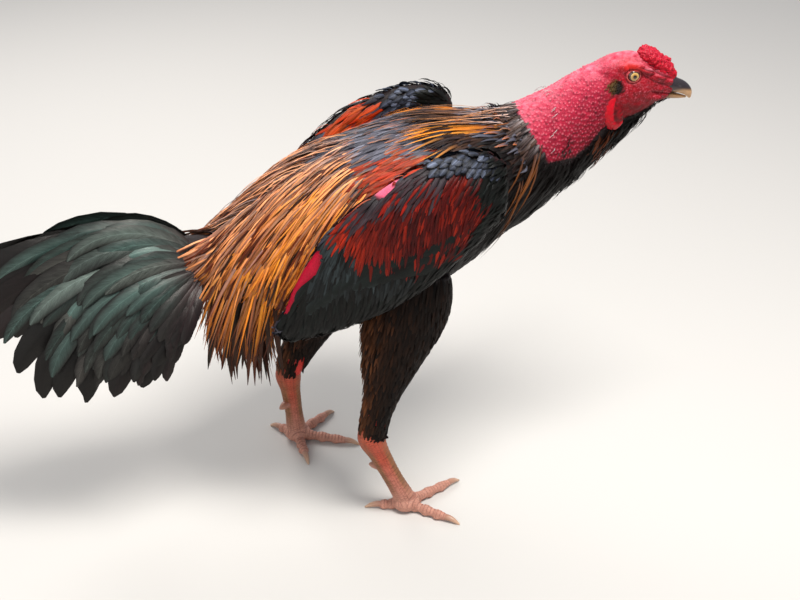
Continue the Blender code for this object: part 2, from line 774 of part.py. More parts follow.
def build_foot(side):
    foot = LEGS[side]["foot"]
    toes = LEGS[side]["toes"]
    middle = Matrix.Translation(foot + UP * FOOT_PAD_HEIGHT)
    pad = ball("foot_" + SIDE_NAMES[side], FOOT_PAD, middle, segments=12, rings=8)
    added = []
    for bearing, length in toes.values():
        reach = length - CLAW_LENGTH
        added.append(digit("toe", foot, bearing, 0.0, reach, TOE, TOE_RADIUS, 10, 8))
    boolean(pad, added, "UNION")
    boolean(pad, [floor_cutter()], "DIFFERENCE")
    for toe, (bearing, length) in toes.items():
        name = f"claw_{toe}_{SIDE_NAMES[side]}"
        start = length - CLAW_LENGTH
        claw = digit(name, foot, bearing, start, CLAW_LENGTH, CLAW, CLAW_RADIUS, 6, 6)
        boolean(claw, [grown_copy(pad), floor_cutter()], "DIFFERENCE")
    return pad


def build_spur(shank, side):
    rows = LEGS[side]["shank"]
    root = (Vector(rows[2][:3]) + Vector(rows[3][:3])) / 2
    way = Vector((-0.80, -side * 0.55, -0.10)).normalized()
    path = []
    for share, radius in SPUR:
        place = root + way * (SPUR_START + SPUR_LENGTH * share)
        path.append((*place, radius, radius, radius))
    spur = loft("spur_" + SIDE_NAMES[side], path_sections(path, stations=5, count=8, square=2.0, hint=UP))
    boolean(spur, [grown_copy(shank)], "DIFFERENCE")


def build_leg(side, around):
    word = SIDE_NAMES[side]
    foot = build_foot(side)
    thigh = build_thigh("thigh_" + word, LEGS[side]["thigh"], around)
    shank = build_shank("shank_" + word, LEGS[side]["shank"], [foot, thigh])
    build_spur(shank, side)


def vane(spine, sides, widths, thick, camber=0.0):
    """A feather's closed blade. Sides point to its left edge, and camber lowers both edges.

    Faces are triangles laid alike on both faces, so that a curved blade keeps its thickness.
    """
    edges = [(1, 1), (-1, 1), (-1, -1), (1, -1)]
    if camber:
        edges = [(1, 1), (0, 1), (-1, 1), (-1, -1), (0, -1), (1, -1)]
    corners = len(edges)
    points = []
    for i, (place, side, half) in enumerate(zip(spine, sides, widths)):
        face = direction_at(spine, i).cross(side).normalized()
        for reach, level in edges:
            sag = face * camber * half * abs(reach)
            points.append(place + side * half * reach + face * thick / 2 * level - sag)
    faces = []
    for i in range(len(spine) - 1):
        a = i * corners
        b = a + corners
        for k in range(corners):
            n = (k + 1) % corners
            if k < corners // 2 - 1 or k == corners - 1:
                faces += [(a + k, a + n, b + n), (a + k, b + n, b + k)]
            else:
                faces += [(a + k, a + n, b + k), (a + n, b + n, b + k)]
    for start in (0, len(points) - corners):
        for k in range(corners // 2 - 1):
            over = corners - 2 - k
            faces.append((start + k, start + k + 1, start + over))
            faces.append((start + k, start + over, start + over + 1))
    return new_object("vane", points, faces)


def surface_of(objects, grow=0.0):
    """One search tree over the skins of several objects, moved out by grow."""
    points = []
    faces = []
    for obj in objects:
        start = len(points)
        points += [vert.co + vert.normal * grow for vert in obj.data.vertices]
        faces += [[start + i for i in face.vertices] for face in obj.data.polygons]
    return BVHTree.FromPolygons(points, faces)


def laid_spine(own, skin, root, way, length, kind, first_lift):
    """A spine rooted in its own piece that lies along a skin, further off it towards its tip."""
    place, normal, _, _ = own.find_nearest(root)
    way = (way - normal * way.dot(normal)).normalized()
    spine = [place - normal * VANE_ROOT_DEPTH]
    normals = [normal]
    here = place
    shares = [share for share, _ in kind["outline"]]
    for before, share in zip(shares, shares[1:]):
        last = here
        step = length * (share - before)
        here = here + way * step
        near, up, _, _ = skin.find_nearest(here)
        lift = first_lift + kind["slope"] * length * share
        height = (here - near).dot(up)
        hugging = up.z > -0.25 and height < lift + HUG_DEPTH
        if height < lift or hugging:
            here = near + up * max(lift, lift + HUG_SHARE * (height - lift))
        else:
            up = normals[-1]
        spine.append(here)
        normals.append(up)
        way = ((here - last).normalized() - UP * kind["droop"] * step / DROOP_STEP).normalized()
    sides = [up.cross(direction_at(spine, i)).normalized() for i, up in enumerate(normals)]
    return spine, sides


def laid_vane(own, skin, keep_off, root, way, length, kind):
    """A feather laid on a skin and raised until it clears what it must keep off, or an empty list."""
    widths = [kind["half"] * wide for _, wide in kind["outline"]]
    for tries in range(LIFT_TRIES):
        first_lift = LIFT_FIRST + LIFT_STEP * tries
        spine, sides = laid_spine(own, skin, root, way, length, kind, first_lift)
        made = vane(spine, sides, widths, VANE_THICK)
        if not surface_of([made]).overlap(keep_off):
            return [made]
        bpy.data.objects.remove(made)
    return []


def add_saddle_feathers(saddle, beside, tail):
    """Long narrow feathers that part along the back and hang down both flanks."""
    own = surface_of([saddle])
    skin = surface_of([saddle, *beside])
    keep_off = surface_of([*beside, tail], GAP)
    feathers = []
    for row, (x, length, more, last) in enumerate(SADDLE_ROWS):
        first = SADDLE_FIRST + SADDLE_STAGGER * (row % 2)
        for side in (LEFT, RIGHT):
            for k, turn in enumerate(np.arange(first, last, SADDLE_SPACING)):
                c = math.cos(math.radians(turn))
                s = math.sin(math.radians(turn))
                height = SADDLE_AXIS_HEIGHT + SADDLE_AXIS_SLOPE * x
                centre = Vector((x - SADDLE_SET_BACK * (k % 2), 0, height))
                root = centre + Vector((-SADDLE_ROOT_LEAN * c, side * s, c)) * SADDLE_ROOT_OUT
                way = mirrored(SADDLE_FLOW, side)
                feathers += laid_vane(own, skin, keep_off, root, way, length + more * s**2, SADDLE_VANE)
    boolean(saddle, feathers, "UNION")


def add_hackle_feathers(hackle, beside):
    """Two rows of short pointed feathers round the base of the neck."""
    own = surface_of([hackle])
    skin = surface_of([hackle, *beside])
    keep_off = surface_of(beside, GAP)
    below = ACROSS.cross(NECK_LINE).normalized()
    feathers = []
    for row, (share, length) in enumerate(HACKLE_ROWS):
        for k in range(HACKLE_COUNT):
            angle = math.radians(HACKLE_FIRST + HACKLE_SPACING * (k + row / 2))
            out = below * math.cos(angle) + ACROSS * math.sin(angle)
            root = CAPE_CUT.lerp(BARE_CUT, share) + out * HACKLE_ROOT_OUT
            feathers += laid_vane(own, skin, keep_off, root, HACKLE_FLOW, length, HACKLE_VANE)
    boolean(hackle, feathers, "UNION")


def add_wing_feathers(wing, side, beside):
    """Coverts in overlapping tiers, then the secondaries and the primaries below them."""
    skin = surface_of([wing])
    keep_off = surface_of(beside, GAP)
    rows = through(WING, WING_STATIONS)
    feathers = []
    for share, length, half, places in WING_TIERS:
        i = int(share * (WING_STATIONS - 1))
        x, y, z, chord, _ = rows[i]
        _, up, back = wing_axes(rows, i, side)
        kind = {**WING_VANE, "half": half}
        for k, place in enumerate(places):
            root = Vector((x, side * y, z)) + up * chord * place + mirrored(ACROSS, side) * WING_ROOT_OUT
            root -= back * WING_SET_BACK * (k % 2)
            way = back - up * place * WING_FAN
            feathers += laid_vane(skin, skin, keep_off, root, way, length, kind)
    boolean(wing, feathers, "UNION")


def tail_feather(side, angle, bend, length, reach_out, half, layer):
    """A broad cambered feather that starts in the stump and bends as it goes."""
    face = Vector((0, side * math.cos(TAIL_LEAN), math.sin(TAIL_LEAN)))
    start = math.radians(angle)
    inside = Vector((-0.012 * math.cos(start), side * (TAIL_INNERMOST + layer), 0.016 * math.sin(start)))
    spine = [TAIL_ROOT + inside]
    sides = []
    shares = [share for share, _ in BROAD]
    for i, share in enumerate(shares):
        turn = math.radians(angle + bend * share)
        out = side * reach_out / length * (1.6 - 1.2 * share)
        way = Vector((-math.cos(turn), out, math.sin(turn))).normalized()
        sides.append(face.cross(way).normalized())
        if i + 1 < len(shares):
            spine.append(spine[-1] + way * length * (shares[i + 1] - share))
    widths = [half * wide for _, wide in BROAD]
    return vane(spine, sides, widths, TAIL_VANE_THICK, TAIL_CAMBER)


def build_tail(tail_plane):
    tail = loft("tail", path_sections(TAIL_STUMP, stations=7, count=14, square=LIMB_SQUARE, hint=ACROSS))
    point, normal = tail_plane
    boolean(tail, [half_space(point - normal * GAP / 2, normal)], "DIFFERENCE")
    feathers = []
    for side in (LEFT, RIGHT):
        for rows, innermost in ((TAIL_FEATHERS, 0.0), (TAIL_COVERTS, COVERTS_OUT)):
            for i, row in enumerate(rows):
                feathers.append(tail_feather(side, *row, innermost + TAIL_LAYER * i))
    boolean(tail, feathers, "UNION")
    return tail


def paint(obj):
    colour, roughness = next(look for name, look in SURFACES.items() if obj.name.startswith(name))
    material = bpy.data.materials.new(obj.name)
    material.use_nodes = True
    shader = material.node_tree.nodes["Principled BSDF"]
    shader.inputs["Base Color"].default_value = (*colour, 1)
    shader.inputs["Roughness"].default_value = roughness
    shader.inputs["Metallic"].default_value = 0.0
    obj.data.materials.clear()
    obj.data.materials.append(material)


flesh = build_flesh()
cape_plane = (CAPE_CUT, NECK_LINE)
bare_plane = (BARE_CUT, NECK_LINE)
head_plane = (HEAD_CUT, NECK_LINE)
saddle_plane = (SADDLE_CUT, SADDLE_LINE)
tail_plane = (TAIL_CUT, TAIL_LINE)
torso = slice_of("torso", flesh, saddle_plane, cape_plane)
saddle = slice_of("saddle", flesh, tail_plane, saddle_plane)
hackle = slice_of("hackle", flesh, cape_plane, bare_plane)
neck = slice_of("neck", flesh, bare_plane, head_plane)
head = slice_of("head", flesh, head_plane, None)
bpy.data.objects.remove(flesh)

cut_face(head)
build_eyes()
build_comb(head, build_beak())
wings = []
for side in (LEFT, RIGHT):
    build_lobe(side, [head, neck])
    wings.append(build_wing(side, [torso, saddle, hackle]))
tail = build_tail(tail_plane)
add_saddle_feathers(saddle, [torso, *wings], tail)
add_hackle_feathers(hackle, [torso, *wings])
for side, wing in zip((LEFT, RIGHT), wings):
    build_leg(side, [torso, saddle, wing])

stand = bpy.data.objects.new("stand", None)
stand.location = STAND_SHIFT
parts.objects.link(stand)
for made in parts.objects:
    if made.type == "MESH":
        paint(made)
        made.data.shade_smooth()
        made.data.set_sharp_from_angle(angle=SMOOTH_BELOW)
        made.parent = stand
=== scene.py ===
import math
import random

import bmesh
import bpy
import numpy as np
from mathutils import Matrix, Vector, noise
from mathutils.bvhtree import BVHTree


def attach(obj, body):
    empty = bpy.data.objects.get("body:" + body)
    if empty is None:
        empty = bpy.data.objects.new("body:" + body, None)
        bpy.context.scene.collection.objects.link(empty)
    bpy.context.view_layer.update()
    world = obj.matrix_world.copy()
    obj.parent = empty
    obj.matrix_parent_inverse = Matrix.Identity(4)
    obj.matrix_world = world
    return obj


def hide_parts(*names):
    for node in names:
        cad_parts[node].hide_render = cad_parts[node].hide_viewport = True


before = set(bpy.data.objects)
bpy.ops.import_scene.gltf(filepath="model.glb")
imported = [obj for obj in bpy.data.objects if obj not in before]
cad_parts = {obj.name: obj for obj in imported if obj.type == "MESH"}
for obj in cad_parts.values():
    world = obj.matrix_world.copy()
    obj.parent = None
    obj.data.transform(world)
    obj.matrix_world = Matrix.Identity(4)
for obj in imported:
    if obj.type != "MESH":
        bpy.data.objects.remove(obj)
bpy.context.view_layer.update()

# The body. A stuffed bird's skin is one piece over torso, neck, wings and thighs, and is hidden
# by the coat except at the neck, the flank and the shoulder. It lies inside the coat's outline.
LEFT, RIGHT = 1, -1
SIDE_NAMES = {LEFT: "left", RIGHT: "right"}
# Sizes are written from the floor midway between the feet. The bird's box stands this far on.
STAND_SHIFT = Vector((0.0197, 0.0, 0.0))
UP = Vector((0, 0, 1))
ACROSS = Vector((0, 1, 0))
COAT_DEPTH = 0.0035
THIGH_COAT_DEPTH = 0.002
BODY_VOXEL = 0.0020
# How full the corners of a section are: 2 makes an ellipse.
BODY_SQUARE = 2.3
LIMB_SQUARE = 2.1
# Torso sections: distance forward, top height, bottom height, half width.
TORSO = (
    (-0.126, 0.2440, 0.2320, 0.006),
    (-0.112, 0.2530, 0.2170, 0.024),
    (-0.080, 0.2760, 0.2010, 0.043),
    (-0.040, 0.3030, 0.1890, 0.057),
    (0.005, 0.3230, 0.1840, 0.067),
    (0.048, 0.3330, 0.1900, 0.072),
    (0.084, 0.3350, 0.2060, 0.068),
    (0.112, 0.3330, 0.2260, 0.057),
    (0.134, 0.3260, 0.2480, 0.042),
    (0.148, 0.3160, 0.2700, 0.022),
)
# Neck sections: centre, radius above, radius below, half width.
NECK = (
    (0.112, 0.000, 0.284, 0.044, 0.050, 0.050),
    (0.150, -0.002, 0.300, 0.039, 0.045, 0.038),
    (0.185, -0.008, 0.322, 0.036, 0.038, 0.027),
    (0.212, -0.012, 0.342, 0.032, 0.034, 0.0205),
    (0.236, -0.016, 0.356, 0.018, 0.028, 0.0170),
    (0.250, -0.019, 0.362, 0.010, 0.023, 0.0135),
    (0.262, -0.021, 0.361, 0.004, 0.014, 0.0090),
    (0.267, -0.022, 0.357, 0.002, 0.006, 0.0040),
)
NECK_LINE = Vector((0.84, -0.10, 0.53)).normalized()
CAPE_CUT = Vector((0.138, -0.001, 0.294))
BARE_CUT = Vector((0.176, -0.006, 0.314))
# Wing sections, on the left side: centre, half chord, half thickness.
WING = (
    (0.108, 0.069, 0.308, 0.012, 0.007),
    (0.098, 0.075, 0.310, 0.027, 0.014),
    (0.074, 0.080, 0.304, 0.037, 0.016),
    (0.038, 0.082, 0.284, 0.044, 0.015),
    (0.000, 0.079, 0.255, 0.043, 0.012),
    (-0.036, 0.072, 0.224, 0.031, 0.009),
    (-0.066, 0.063, 0.194, 0.010, 0.004),
)
WING_TILT = math.radians(14)
# The tail's stump: as the neck.
TAIL_STUMP = (
    (-0.100, 0.0, 0.236, 0.014, 0.018, 0.020),
    (-0.120, 0.0, 0.235, 0.020, 0.024, 0.019),
    (-0.138, 0.0, 0.233, 0.020, 0.026, 0.014),
    (-0.152, 0.0, 0.231, 0.010, 0.014, 0.007),
)
# Thigh and shank sections: centre, half width fore and aft, half width across.
THIGHS = {
    RIGHT: (
        (0.046, -0.050, 0.228, 0.030, 0.026),
        (0.038, -0.055, 0.196, 0.034, 0.025),
        (0.025, -0.060, 0.160, 0.026, 0.020),
        (0.0140, -0.063, 0.124, 0.0155, 0.0135),
        (0.0065, -0.064, 0.098, 0.0130, 0.0115),
        (0.0040, -0.064, 0.082, 0.0125, 0.0100),
    ),
    LEFT: (
        (0.022, 0.046, 0.224, 0.030, 0.026),
        (0.010, 0.048, 0.190, 0.032, 0.025),
        (-0.010, 0.049, 0.152, 0.024, 0.020),
        (-0.030, 0.049, 0.116, 0.017, 0.014),
        (-0.042, 0.049, 0.094, 0.014, 0.012),
        (-0.044, 0.049, 0.082, 0.012, 0.010),
    ),
}


def through(rows, count):
    """Count rows, evenly spaced along a smooth curve through the given rows."""
    rows = np.array(rows, float)
    last = len(rows) - 1
    found = []
    for t in np.linspace(0, last, count):
        i = min(int(t), last - 1)
        f = t - i
        a = rows[max(i - 1, 0)]
        b = rows[i]
        c = rows[i + 1]
        d = rows[min(i + 2, last)]
        square = (2 * a - 5 * b + 4 * c - d) * f**2
        cube = (3 * b - a - 3 * c + d) * f**3
        found.append(0.5 * (2 * b + (c - a) * f + square + cube))
    return np.array(found)


def direction_at(places, i):
    """The way that a row of places runs at its place i."""
    after = Vector(places[min(i + 1, len(places) - 1)][:3])
    before = Vector(places[max(i - 1, 0)][:3])
    return (after - before).normalized()


def section(centre, across, up, half_width, rise, drop, square, count):
    """Points round one section, with its corners as full as square says."""
    points = []
    for k in range(count):
        angle = 2 * math.pi * k / count
        c = math.cos(angle)
        s = math.sin(angle)
        x = math.copysign(abs(c) ** (2 / square), c) * half_width
        z = math.copysign(abs(s) ** (2 / square), s) * (rise if s > 0 else drop)
        points.append(centre + across * x + up * z)
    return points


def upright_sections(rows, stations, count, square, inset=0.0):
    """Sections that stand upright, from rows of forward, top, bottom, half width."""
    sections = []
    for x, top, bottom, half in through(rows, stations):
        centre = Vector((x, 0, (top + bottom) / 2))
        rise = max((top - bottom) / 2 - inset, 0.001)
        sections.append(section(centre, ACROSS, UP, max(half - inset, 0.001), rise, rise, square, count))
    return sections


def path_sections(rows, stations, count, square, hint, inset=0.0):
    """Sections square to a path, from rows of centre, rise, drop, half width."""
    rows = through(rows, stations)
    sections = []
    for i, (x, y, z, *sizes) in enumerate(rows):
        rise, drop, half = (max(size - inset, 0.0005) for size in sizes)
        ahead = direction_at(rows, i)
        across = (hint - ahead * ahead.dot(hint)).normalized()
        up = ahead.cross(across)
        sections.append(section(Vector((x, y, z)), across, up, half, rise, drop, square, count))
    return sections


def limb_rows(rows):
    """Leg sections in the neck's form: centre, rise, drop, half width."""
    return [(x, y, z, fore, fore, across) for x, y, z, fore, across in rows]


def bands(rings, count):
    """The faces between the rings of a tube, each of count points."""
    faces = []
    for i in range(rings - 1):
        for k in range(count):
            a = i * count + k
            b = i * count + (k + 1) % count
            faces.append((a, b, b + count, a + count))
    return faces


def lofted(sections, ends=None):
    """Points and faces of a closed body over a row of sections, closed to its ends or their middles."""
    count = len(sections[0])
    points = [point for ring in sections for point in ring]
    first = len(points)
    last = first + 1
    points += ends or [sum(ring, Vector()) / count for ring in (sections[0], sections[-1])]
    faces = bands(len(sections), count)
    end = (len(sections) - 1) * count
    for k in range(count):
        faces.append((first, (k + 1) % count, k))
        faces.append((last, end + k, end + (k + 1) % count))
    return points, faces


def mesh_of(name, bodies):
    """One object from several lists of points and faces, each facing out."""
    points = []
    faces = []
    for some_points, some_faces in bodies:
        start = len(points)
        points += [tuple(point) for point in some_points]
        faces += [tuple(start + i for i in face) for face in some_faces]
    mesh = bpy.data.meshes.new(name)
    mesh.from_pydata(points, [], faces)
    obj = bpy.data.objects.new(name, mesh)
    bpy.context.scene.collection.objects.link(obj)
    edit = bmesh.new()
    edit.from_mesh(mesh)
    bmesh.ops.recalc_face_normals(edit, faces=edit.faces)
    edit.to_mesh(mesh)
    edit.free()
    return obj


def remesh(obj, voxel, smoothing):
    """Makes one even skin over bodies that overlap, with its creases softened."""
    skin = obj.modifiers.new("skin", "REMESH")
    skin.mode = "VOXEL"
    skin.voxel_size = voxel
    if smoothing:
        soften = obj.modifiers.new("soften", "SMOOTH")
        soften.factor = 0.5
        soften.iterations = smoothing
    graph = bpy.context.evaluated_depsgraph_get()
    made = bpy.data.meshes.new_from_object(obj.evaluated_get(graph))
    obj.modifiers.clear()
    obj.data = made
    obj.data.shade_smooth()


def points_of(obj):
    """The points of a mesh as rows of three."""
    points = np.empty(len(obj.data.vertices) * 3, np.float32)
    obj.data.vertices.foreach_get("co", points)
    return points.reshape(-1, 3).astype(float)


def normals_of(obj):
    """The outward ways at a mesh's points, as rows of three."""
    normals = np.empty(len(obj.data.vertices) * 3, np.float32)
    obj.data.vertices.foreach_get("normal", normals)
    return normals.reshape(-1, 3).astype(float)


def set_points(obj, points):
    """Moves the points of a mesh to the given rows."""
    obj.data.vertices.foreach_set("co", np.ascontiguousarray(points, np.float32).ravel())
    obj.data.update()


def tree_of(*objects):
    """One search tree over several meshes, for laying feathers on."""
    points = []
    faces = []
    for obj in objects:
        start = len(points)
        points += [vert.co.copy() for vert in obj.data.vertices]
        faces += [[start + i for i in face.vertices] for face in obj.data.polygons]
    return BVHTree.FromPolygons(points, faces)


def wing_axes(rows, i, side):
    """Outward, upward and backward along a folded wing at its section i."""
    ahead = direction_at(rows, i)
    back = Vector((ahead.x, side * ahead.y, ahead.z))
    out = Vector((0, side * math.cos(WING_TILT), math.sin(WING_TILT)))
    out = (out - back * back.dot(out)).normalized()
    return out, out.cross(back) * side, back


def wing_body(side, stations, count, inset):
    """Points and faces of one folded wing."""
    rows = through(WING, stations)
    sections = []
    for i, (x, y, z, chord, thick) in enumerate(rows):
        out, up, _ = wing_axes(rows, i, side)
        chord = max(chord - inset, 0.002)
        thick = max(thick - inset, 0.0015)
        sections.append(section(Vector((x, side * y, z)), out, up, thick, chord, chord, BODY_SQUARE, count))
    return lofted(sections)


torso_body = lofted(upright_sections(TORSO, 30, 40, BODY_SQUARE, COAT_DEPTH))
neck_root = lofted(path_sections(NECK[:3], 12, 40, LIMB_SQUARE, ACROSS, COAT_DEPTH))
stump_body = lofted(path_sections(TAIL_STUMP, 12, 24, LIMB_SQUARE, ACROSS, COAT_DEPTH))
wing_bodies = {side: wing_body(side, 24, 28, COAT_DEPTH) for side in (LEFT, RIGHT)}
thigh_bodies = {
    side: lofted(path_sections(limb_rows(THIGHS[side]), 20, 24, LIMB_SQUARE, ACROSS, THIGH_COAT_DEPTH))
    for side in (LEFT, RIGHT)
}
skin = mesh_of("skin", [torso_body, neck_root, stump_body, *wing_bodies.values(), *thigh_bodies.values()])
remesh(skin, BODY_VOXEL, 4)
# Feathers are laid on plainer copies of the same forms.
torso_form = mesh_of("torso_form", [torso_body])
neck_form = mesh_of("neck_form", [lofted(path_sections(NECK, 26, 40, LIMB_SQUARE, ACROSS, 0.001))])
stump_form = mesh_of("stump_form", [stump_body])
wing_forms = {side: mesh_of("wing_form", [body]) for side, body in wing_bodies.items()}
thigh_forms = {side: mesh_of("thigh_form", [body]) for side, body in thigh_bodies.items()}
torso_tree = tree_of(torso_form, neck_form, stump_form)
wing_trees = {side: tree_of(form) for side, form in wing_forms.items()}
thigh_trees = {side: tree_of(form) for side, form in thigh_forms.items()}
coat_tree = tree_of(torso_form, neck_form, stump_form, *wing_forms.values())
for form in (torso_form, neck_form, stump_form, *wing_forms.values(), *thigh_forms.values()):
    bpy.data.objects.remove(form)

# The head and the bare neck. The skin there is bare, red and warty: papillae stand in rows round
# the neck where feathers were lost, and the face is finely grained. Both run on under the hackles.
HEAD_PLACE = Vector((0.231, -0.016, 0.366))
HEAD_TURN = math.radians(-12)
HEAD_NOD = math.radians(12)
HEAD_VOXEL = 0.00055
# Skull sections in the head's frame: forward, top, bottom, half width.
SKULL = (
    (-0.036, -0.0040, -0.0140, 0.0060),
    (-0.028, 0.0000, -0.0220, 0.0120),
    (-0.0185, 0.0088, -0.0280, 0.0148),
    (-0.008, 0.0140, -0.0310, 0.0158),
    (0.002, 0.0158, -0.0310, 0.0155),
    (0.014, 0.0130, -0.0280, 0.0130),
    (0.026, 0.0078, -0.0225, 0.0100),
    (0.036, 0.0028, -0.0170, 0.0072),
    (0.041, 0.0000, -0.0130, 0.0045),
)
EYE = Vector((0.0012, 0.0094, 0.0006))
EYE_RADIUS = 0.0070
LID_HALF_LONG = 0.0046
LID_HALF_HIGH = 0.0040
EAR = Vector((-0.0106, 0.0145, -0.0100))
EAR_HALF_LONG = 0.0062
EAR_HALF_HIGH = 0.0050
EAR_DEPTH = 0.0020
LINE_OF_MOUTH_BACK = 0.020
MOUTH_LEVEL = -0.0108
MOUTH_DEPTH = 0.0010
CREASE_DEPTH = 0.0009
# A fold runs from over the eye to the nostril, and another below it: forward and up.
UPPER_FOLD = ((0.004, 0.0088), (0.016, 0.0072), (0.034, 0.0026))
LOWER_FOLD = ((0.010, 0.0025), (0.020, -0.0012), (0.034, -0.0042))
# Folds and swellings of the face: forward, sideways, up, half sizes along the same three.
FACE_FORMS = (
    (0.0010, 0.0118, 0.0078, 0.0082, 0.0040, 0.0040),
    (0.0105, 0.0118, 0.0062, 0.0075, 0.0036, 0.0028),
    (0.0205, 0.0094, 0.0026, 0.0090, 0.0030, 0.0024),
    (0.0310, 0.0066, -0.0004, 0.0060, 0.0026, 0.0022),
    (-0.0075, 0.0126, 0.0040, 0.0050, 0.0030, 0.0050),
    (0.0060, 0.0122, -0.0100, 0.0105, 0.0040, 0.0050),
    (0.0190, 0.0096, -0.0070, 0.0110, 0.0032, 0.0036),
    (0.0200, 0.0090, -0.0150, 0.0110, 0.0034, 0.0036),
    (0.0040, 0.0120, -0.0225, 0.0120, 0.0042, 0.0060),
    (-0.0038, 0.0140, -0.0090, 0.0022, 0.0024, 0.0050),
)
PAPILLA_SPACING = 0.0029
PAPILLAE_ROUND = 62
PAPILLA_HEIGHT = 0.00085
NECK_FOLD_HEIGHT = 0.00035
head_turn = Matrix.Rotation(HEAD_TURN, 4, "Z") @ Matrix.Rotation(HEAD_NOD, 4, "Y")
head_frame = Matrix.Translation(HEAD_PLACE) @ head_turn


def mirrored(place, side):
    """A place of the left side, on the given side."""
    return Vector((place[0], place[1] * side, place[2]))


def ball_body(centre, radii, segments=16, rings=10):
    """A closed ball, as points and faces."""
    sections = []
    for i in range(1, rings):
        angle = math.pi * i / rings
        middle = Vector(centre) + Vector((-math.cos(angle) * radii[0], 0, 0))
        wide = math.sin(angle)
        high = radii[2] * wide
        sections.append(section(middle, ACROSS, UP, radii[1] * wide, high, high, 2, segments))
    return lofted(sections)


def moved(body, matrix):
    """The points and faces of a body, in another frame."""
    points, faces = body
    return [matrix @ Vector(point) for point in points], faces


def clamp(value):
    return np.clip(value, 0, 1)


def hump(off, width):
    """A smooth hump, 1 in its middle, by the distance off that."""
    return np.exp(-((off / width) ** 2))


def read_off(table, value):
    """What a table of rising places and their values gives at a place."""
    return np.interp(value, *zip(*table))


def noise_at(points, scale, shift=Vector()):
    """A cloudy pattern from about -1 to 1 at each point, finer with a greater scale."""
    return np.array([noise.noise(Vector(p) * scale + shift) for p in points])


face_bodies = [lofted(upright_sections(SKULL, 34, 48, 2.2))]
for side in (LEFT, RIGHT):
    for x, y, z, *radii in FACE_FORMS:
        face_bodies.append(ball_body((x, side * y, z), radii))
head_skin = mesh_of("head_skin", [
    lofted(path_sections(NECK, 60, 64, LIMB_SQUARE, ACROSS)),
    *(moved(body, head_frame) for body in face_bodies),
])
remesh(head_skin, HEAD_VOXEL, 16)
head_tree = tree_of(head_skin)

points = points_of(head_skin)
normals = normals_of(head_skin)
to_head = np.array(head_frame.inverted())
local = points @ to_head[:3, :3].T + to_head[:3, 3]
line = np.array(NECK_LINE)
along_neck = (points - np.array(CAPE_CUT)) @ line
neck_axis = np.array([row[:3] for row in through(NECK, 200)])
axis_share = (neck_axis - np.array(CAPE_CUT)) @ line
axis_at = np.stack([np.interp(along_neck, axis_share, neck_axis[:, i]) for i in range(3)], 1)
radial = points - axis_at
neck_up = np.array(NECK_LINE.cross(ACROSS)) * -1
neck_up /= np.linalg.norm(neck_up)
round_neck = np.arctan2(radial[:, 1], radial @ neck_up)
# The face begins at this line behind the ear, in the head's own frame.
face_share = clamp((local[:, 0] + 0.026 + 0.25 * (local[:, 2] + 0.004)) / 0.018)
papilla = np.zeros(len(points))
row_place = along_neck / PAPILLA_SPACING + 0.5 * np.sin(round_neck * 3) * 0.35
for step in (-1, 0, 1):
    row = np.round(row_place) + step
    column_place = round_neck * PAPILLAE_ROUND / (2 * math.pi) + 0.5 * (row % 2)
    jitter = np.sin(row * 12.9 + np.round(column_place) * 78.2) * 0.30
    far_along = (row_place - row - jitter) * PAPILLA_SPACING
    radius = np.linalg.norm(radial, axis=1)
    far_round = (column_place - np.round(column_place) + jitter) * 2 * math.pi / PAPILLAE_ROUND * radius
    distance = np.hypot(far_along, far_round)
    size = 0.00120 + 0.00035 * np.sin(row * 7.3 + np.round(column_place) * 3.1)
    size = size * np.interp(along_neck, (0.03, 0.08), (1.0, 0.75))
    papilla = np.maximum(papilla, clamp(1 - distance / size))
papilla = papilla**0.8 * (1 - 0.85 * face_share)
grain = noise_at(points, 900)
coarse = noise_at(points, 260)
fold = np.sin(along_neck / 0.0125 + coarse * 2.2)
lift = PAPILLA_HEIGHT * papilla + NECK_FOLD_HEIGHT * fold * (1 - face_share)
behind_ear = np.exp(-(((local[:, 0] + 0.0195) / 0.0013) ** 2 + ((local[:, 2] + 0.004) / 0.008) ** 4))
crease = hump(local[:, 2] - read_off(UPPER_FOLD, local[:, 0]), 0.0008)
crease *= clamp((local[:, 0] - 0.003) / 0.004) * clamp((0.036 - local[:, 0]) / 0.004)
below_fold = hump(local[:, 2] - read_off(LOWER_FOLD, local[:, 0]), 0.0007)
below_fold *= clamp((local[:, 0] - 0.009) / 0.004)
crease = np.maximum(np.maximum(crease, 0.8 * below_fold) * face_share, 0.25 * behind_ear)
lift += face_share * (0.00030 * np.abs(grain) ** 0.7 + 0.00035 * coarse) - CREASE_DEPTH * crease
# The eye's opening and the lid's edge round it, and the ear's cup.
lid_masks = np.zeros(len(points))
ear_masks = np.zeros(len(points))
for side in (LEFT, RIGHT):
    own = np.sign(local[:, 1]) == side
    ex = (local[:, 0] - EYE.x) / LID_HALF_LONG
    ez = (local[:, 2] - EYE.z - 0.06 * (local[:, 0] - EYE.x)) / LID_HALF_HIGH
    ring_at = np.hypot(ex, ez)
    inside = own & (ring_at < 1.0) & (local[:, 1] * side > 0.006)
    lift[inside] = -0.0045
    edge = own & (ring_at >= 1.0) & (ring_at < 1.8) & (local[:, 1] * side > 0.006)
    rim = hump(ring_at - 1.12, 0.11)
    furrow = hump(ring_at - 1.50, 0.12)
    lift[edge] = (0.0006 * rim - 0.0006 * furrow)[edge] + 0.2 * lift[edge]
    lid_masks[edge] = rim[edge]
    crease = np.maximum(crease, 0.7 * furrow * edge)
    ear = np.hypot((local[:, 0] - EAR.x) / EAR_HALF_LONG, (local[:, 2] - EAR.z) / EAR_HALF_HIGH)
    cup = own & (ear < 1.0)
    lift[cup] -= EAR_DEPTH * (1 - ear[cup] ** 2)
    ear_masks = np.maximum(ear_masks, own * np.clip(1.3 - ear, 0, 0.5) / 0.5)
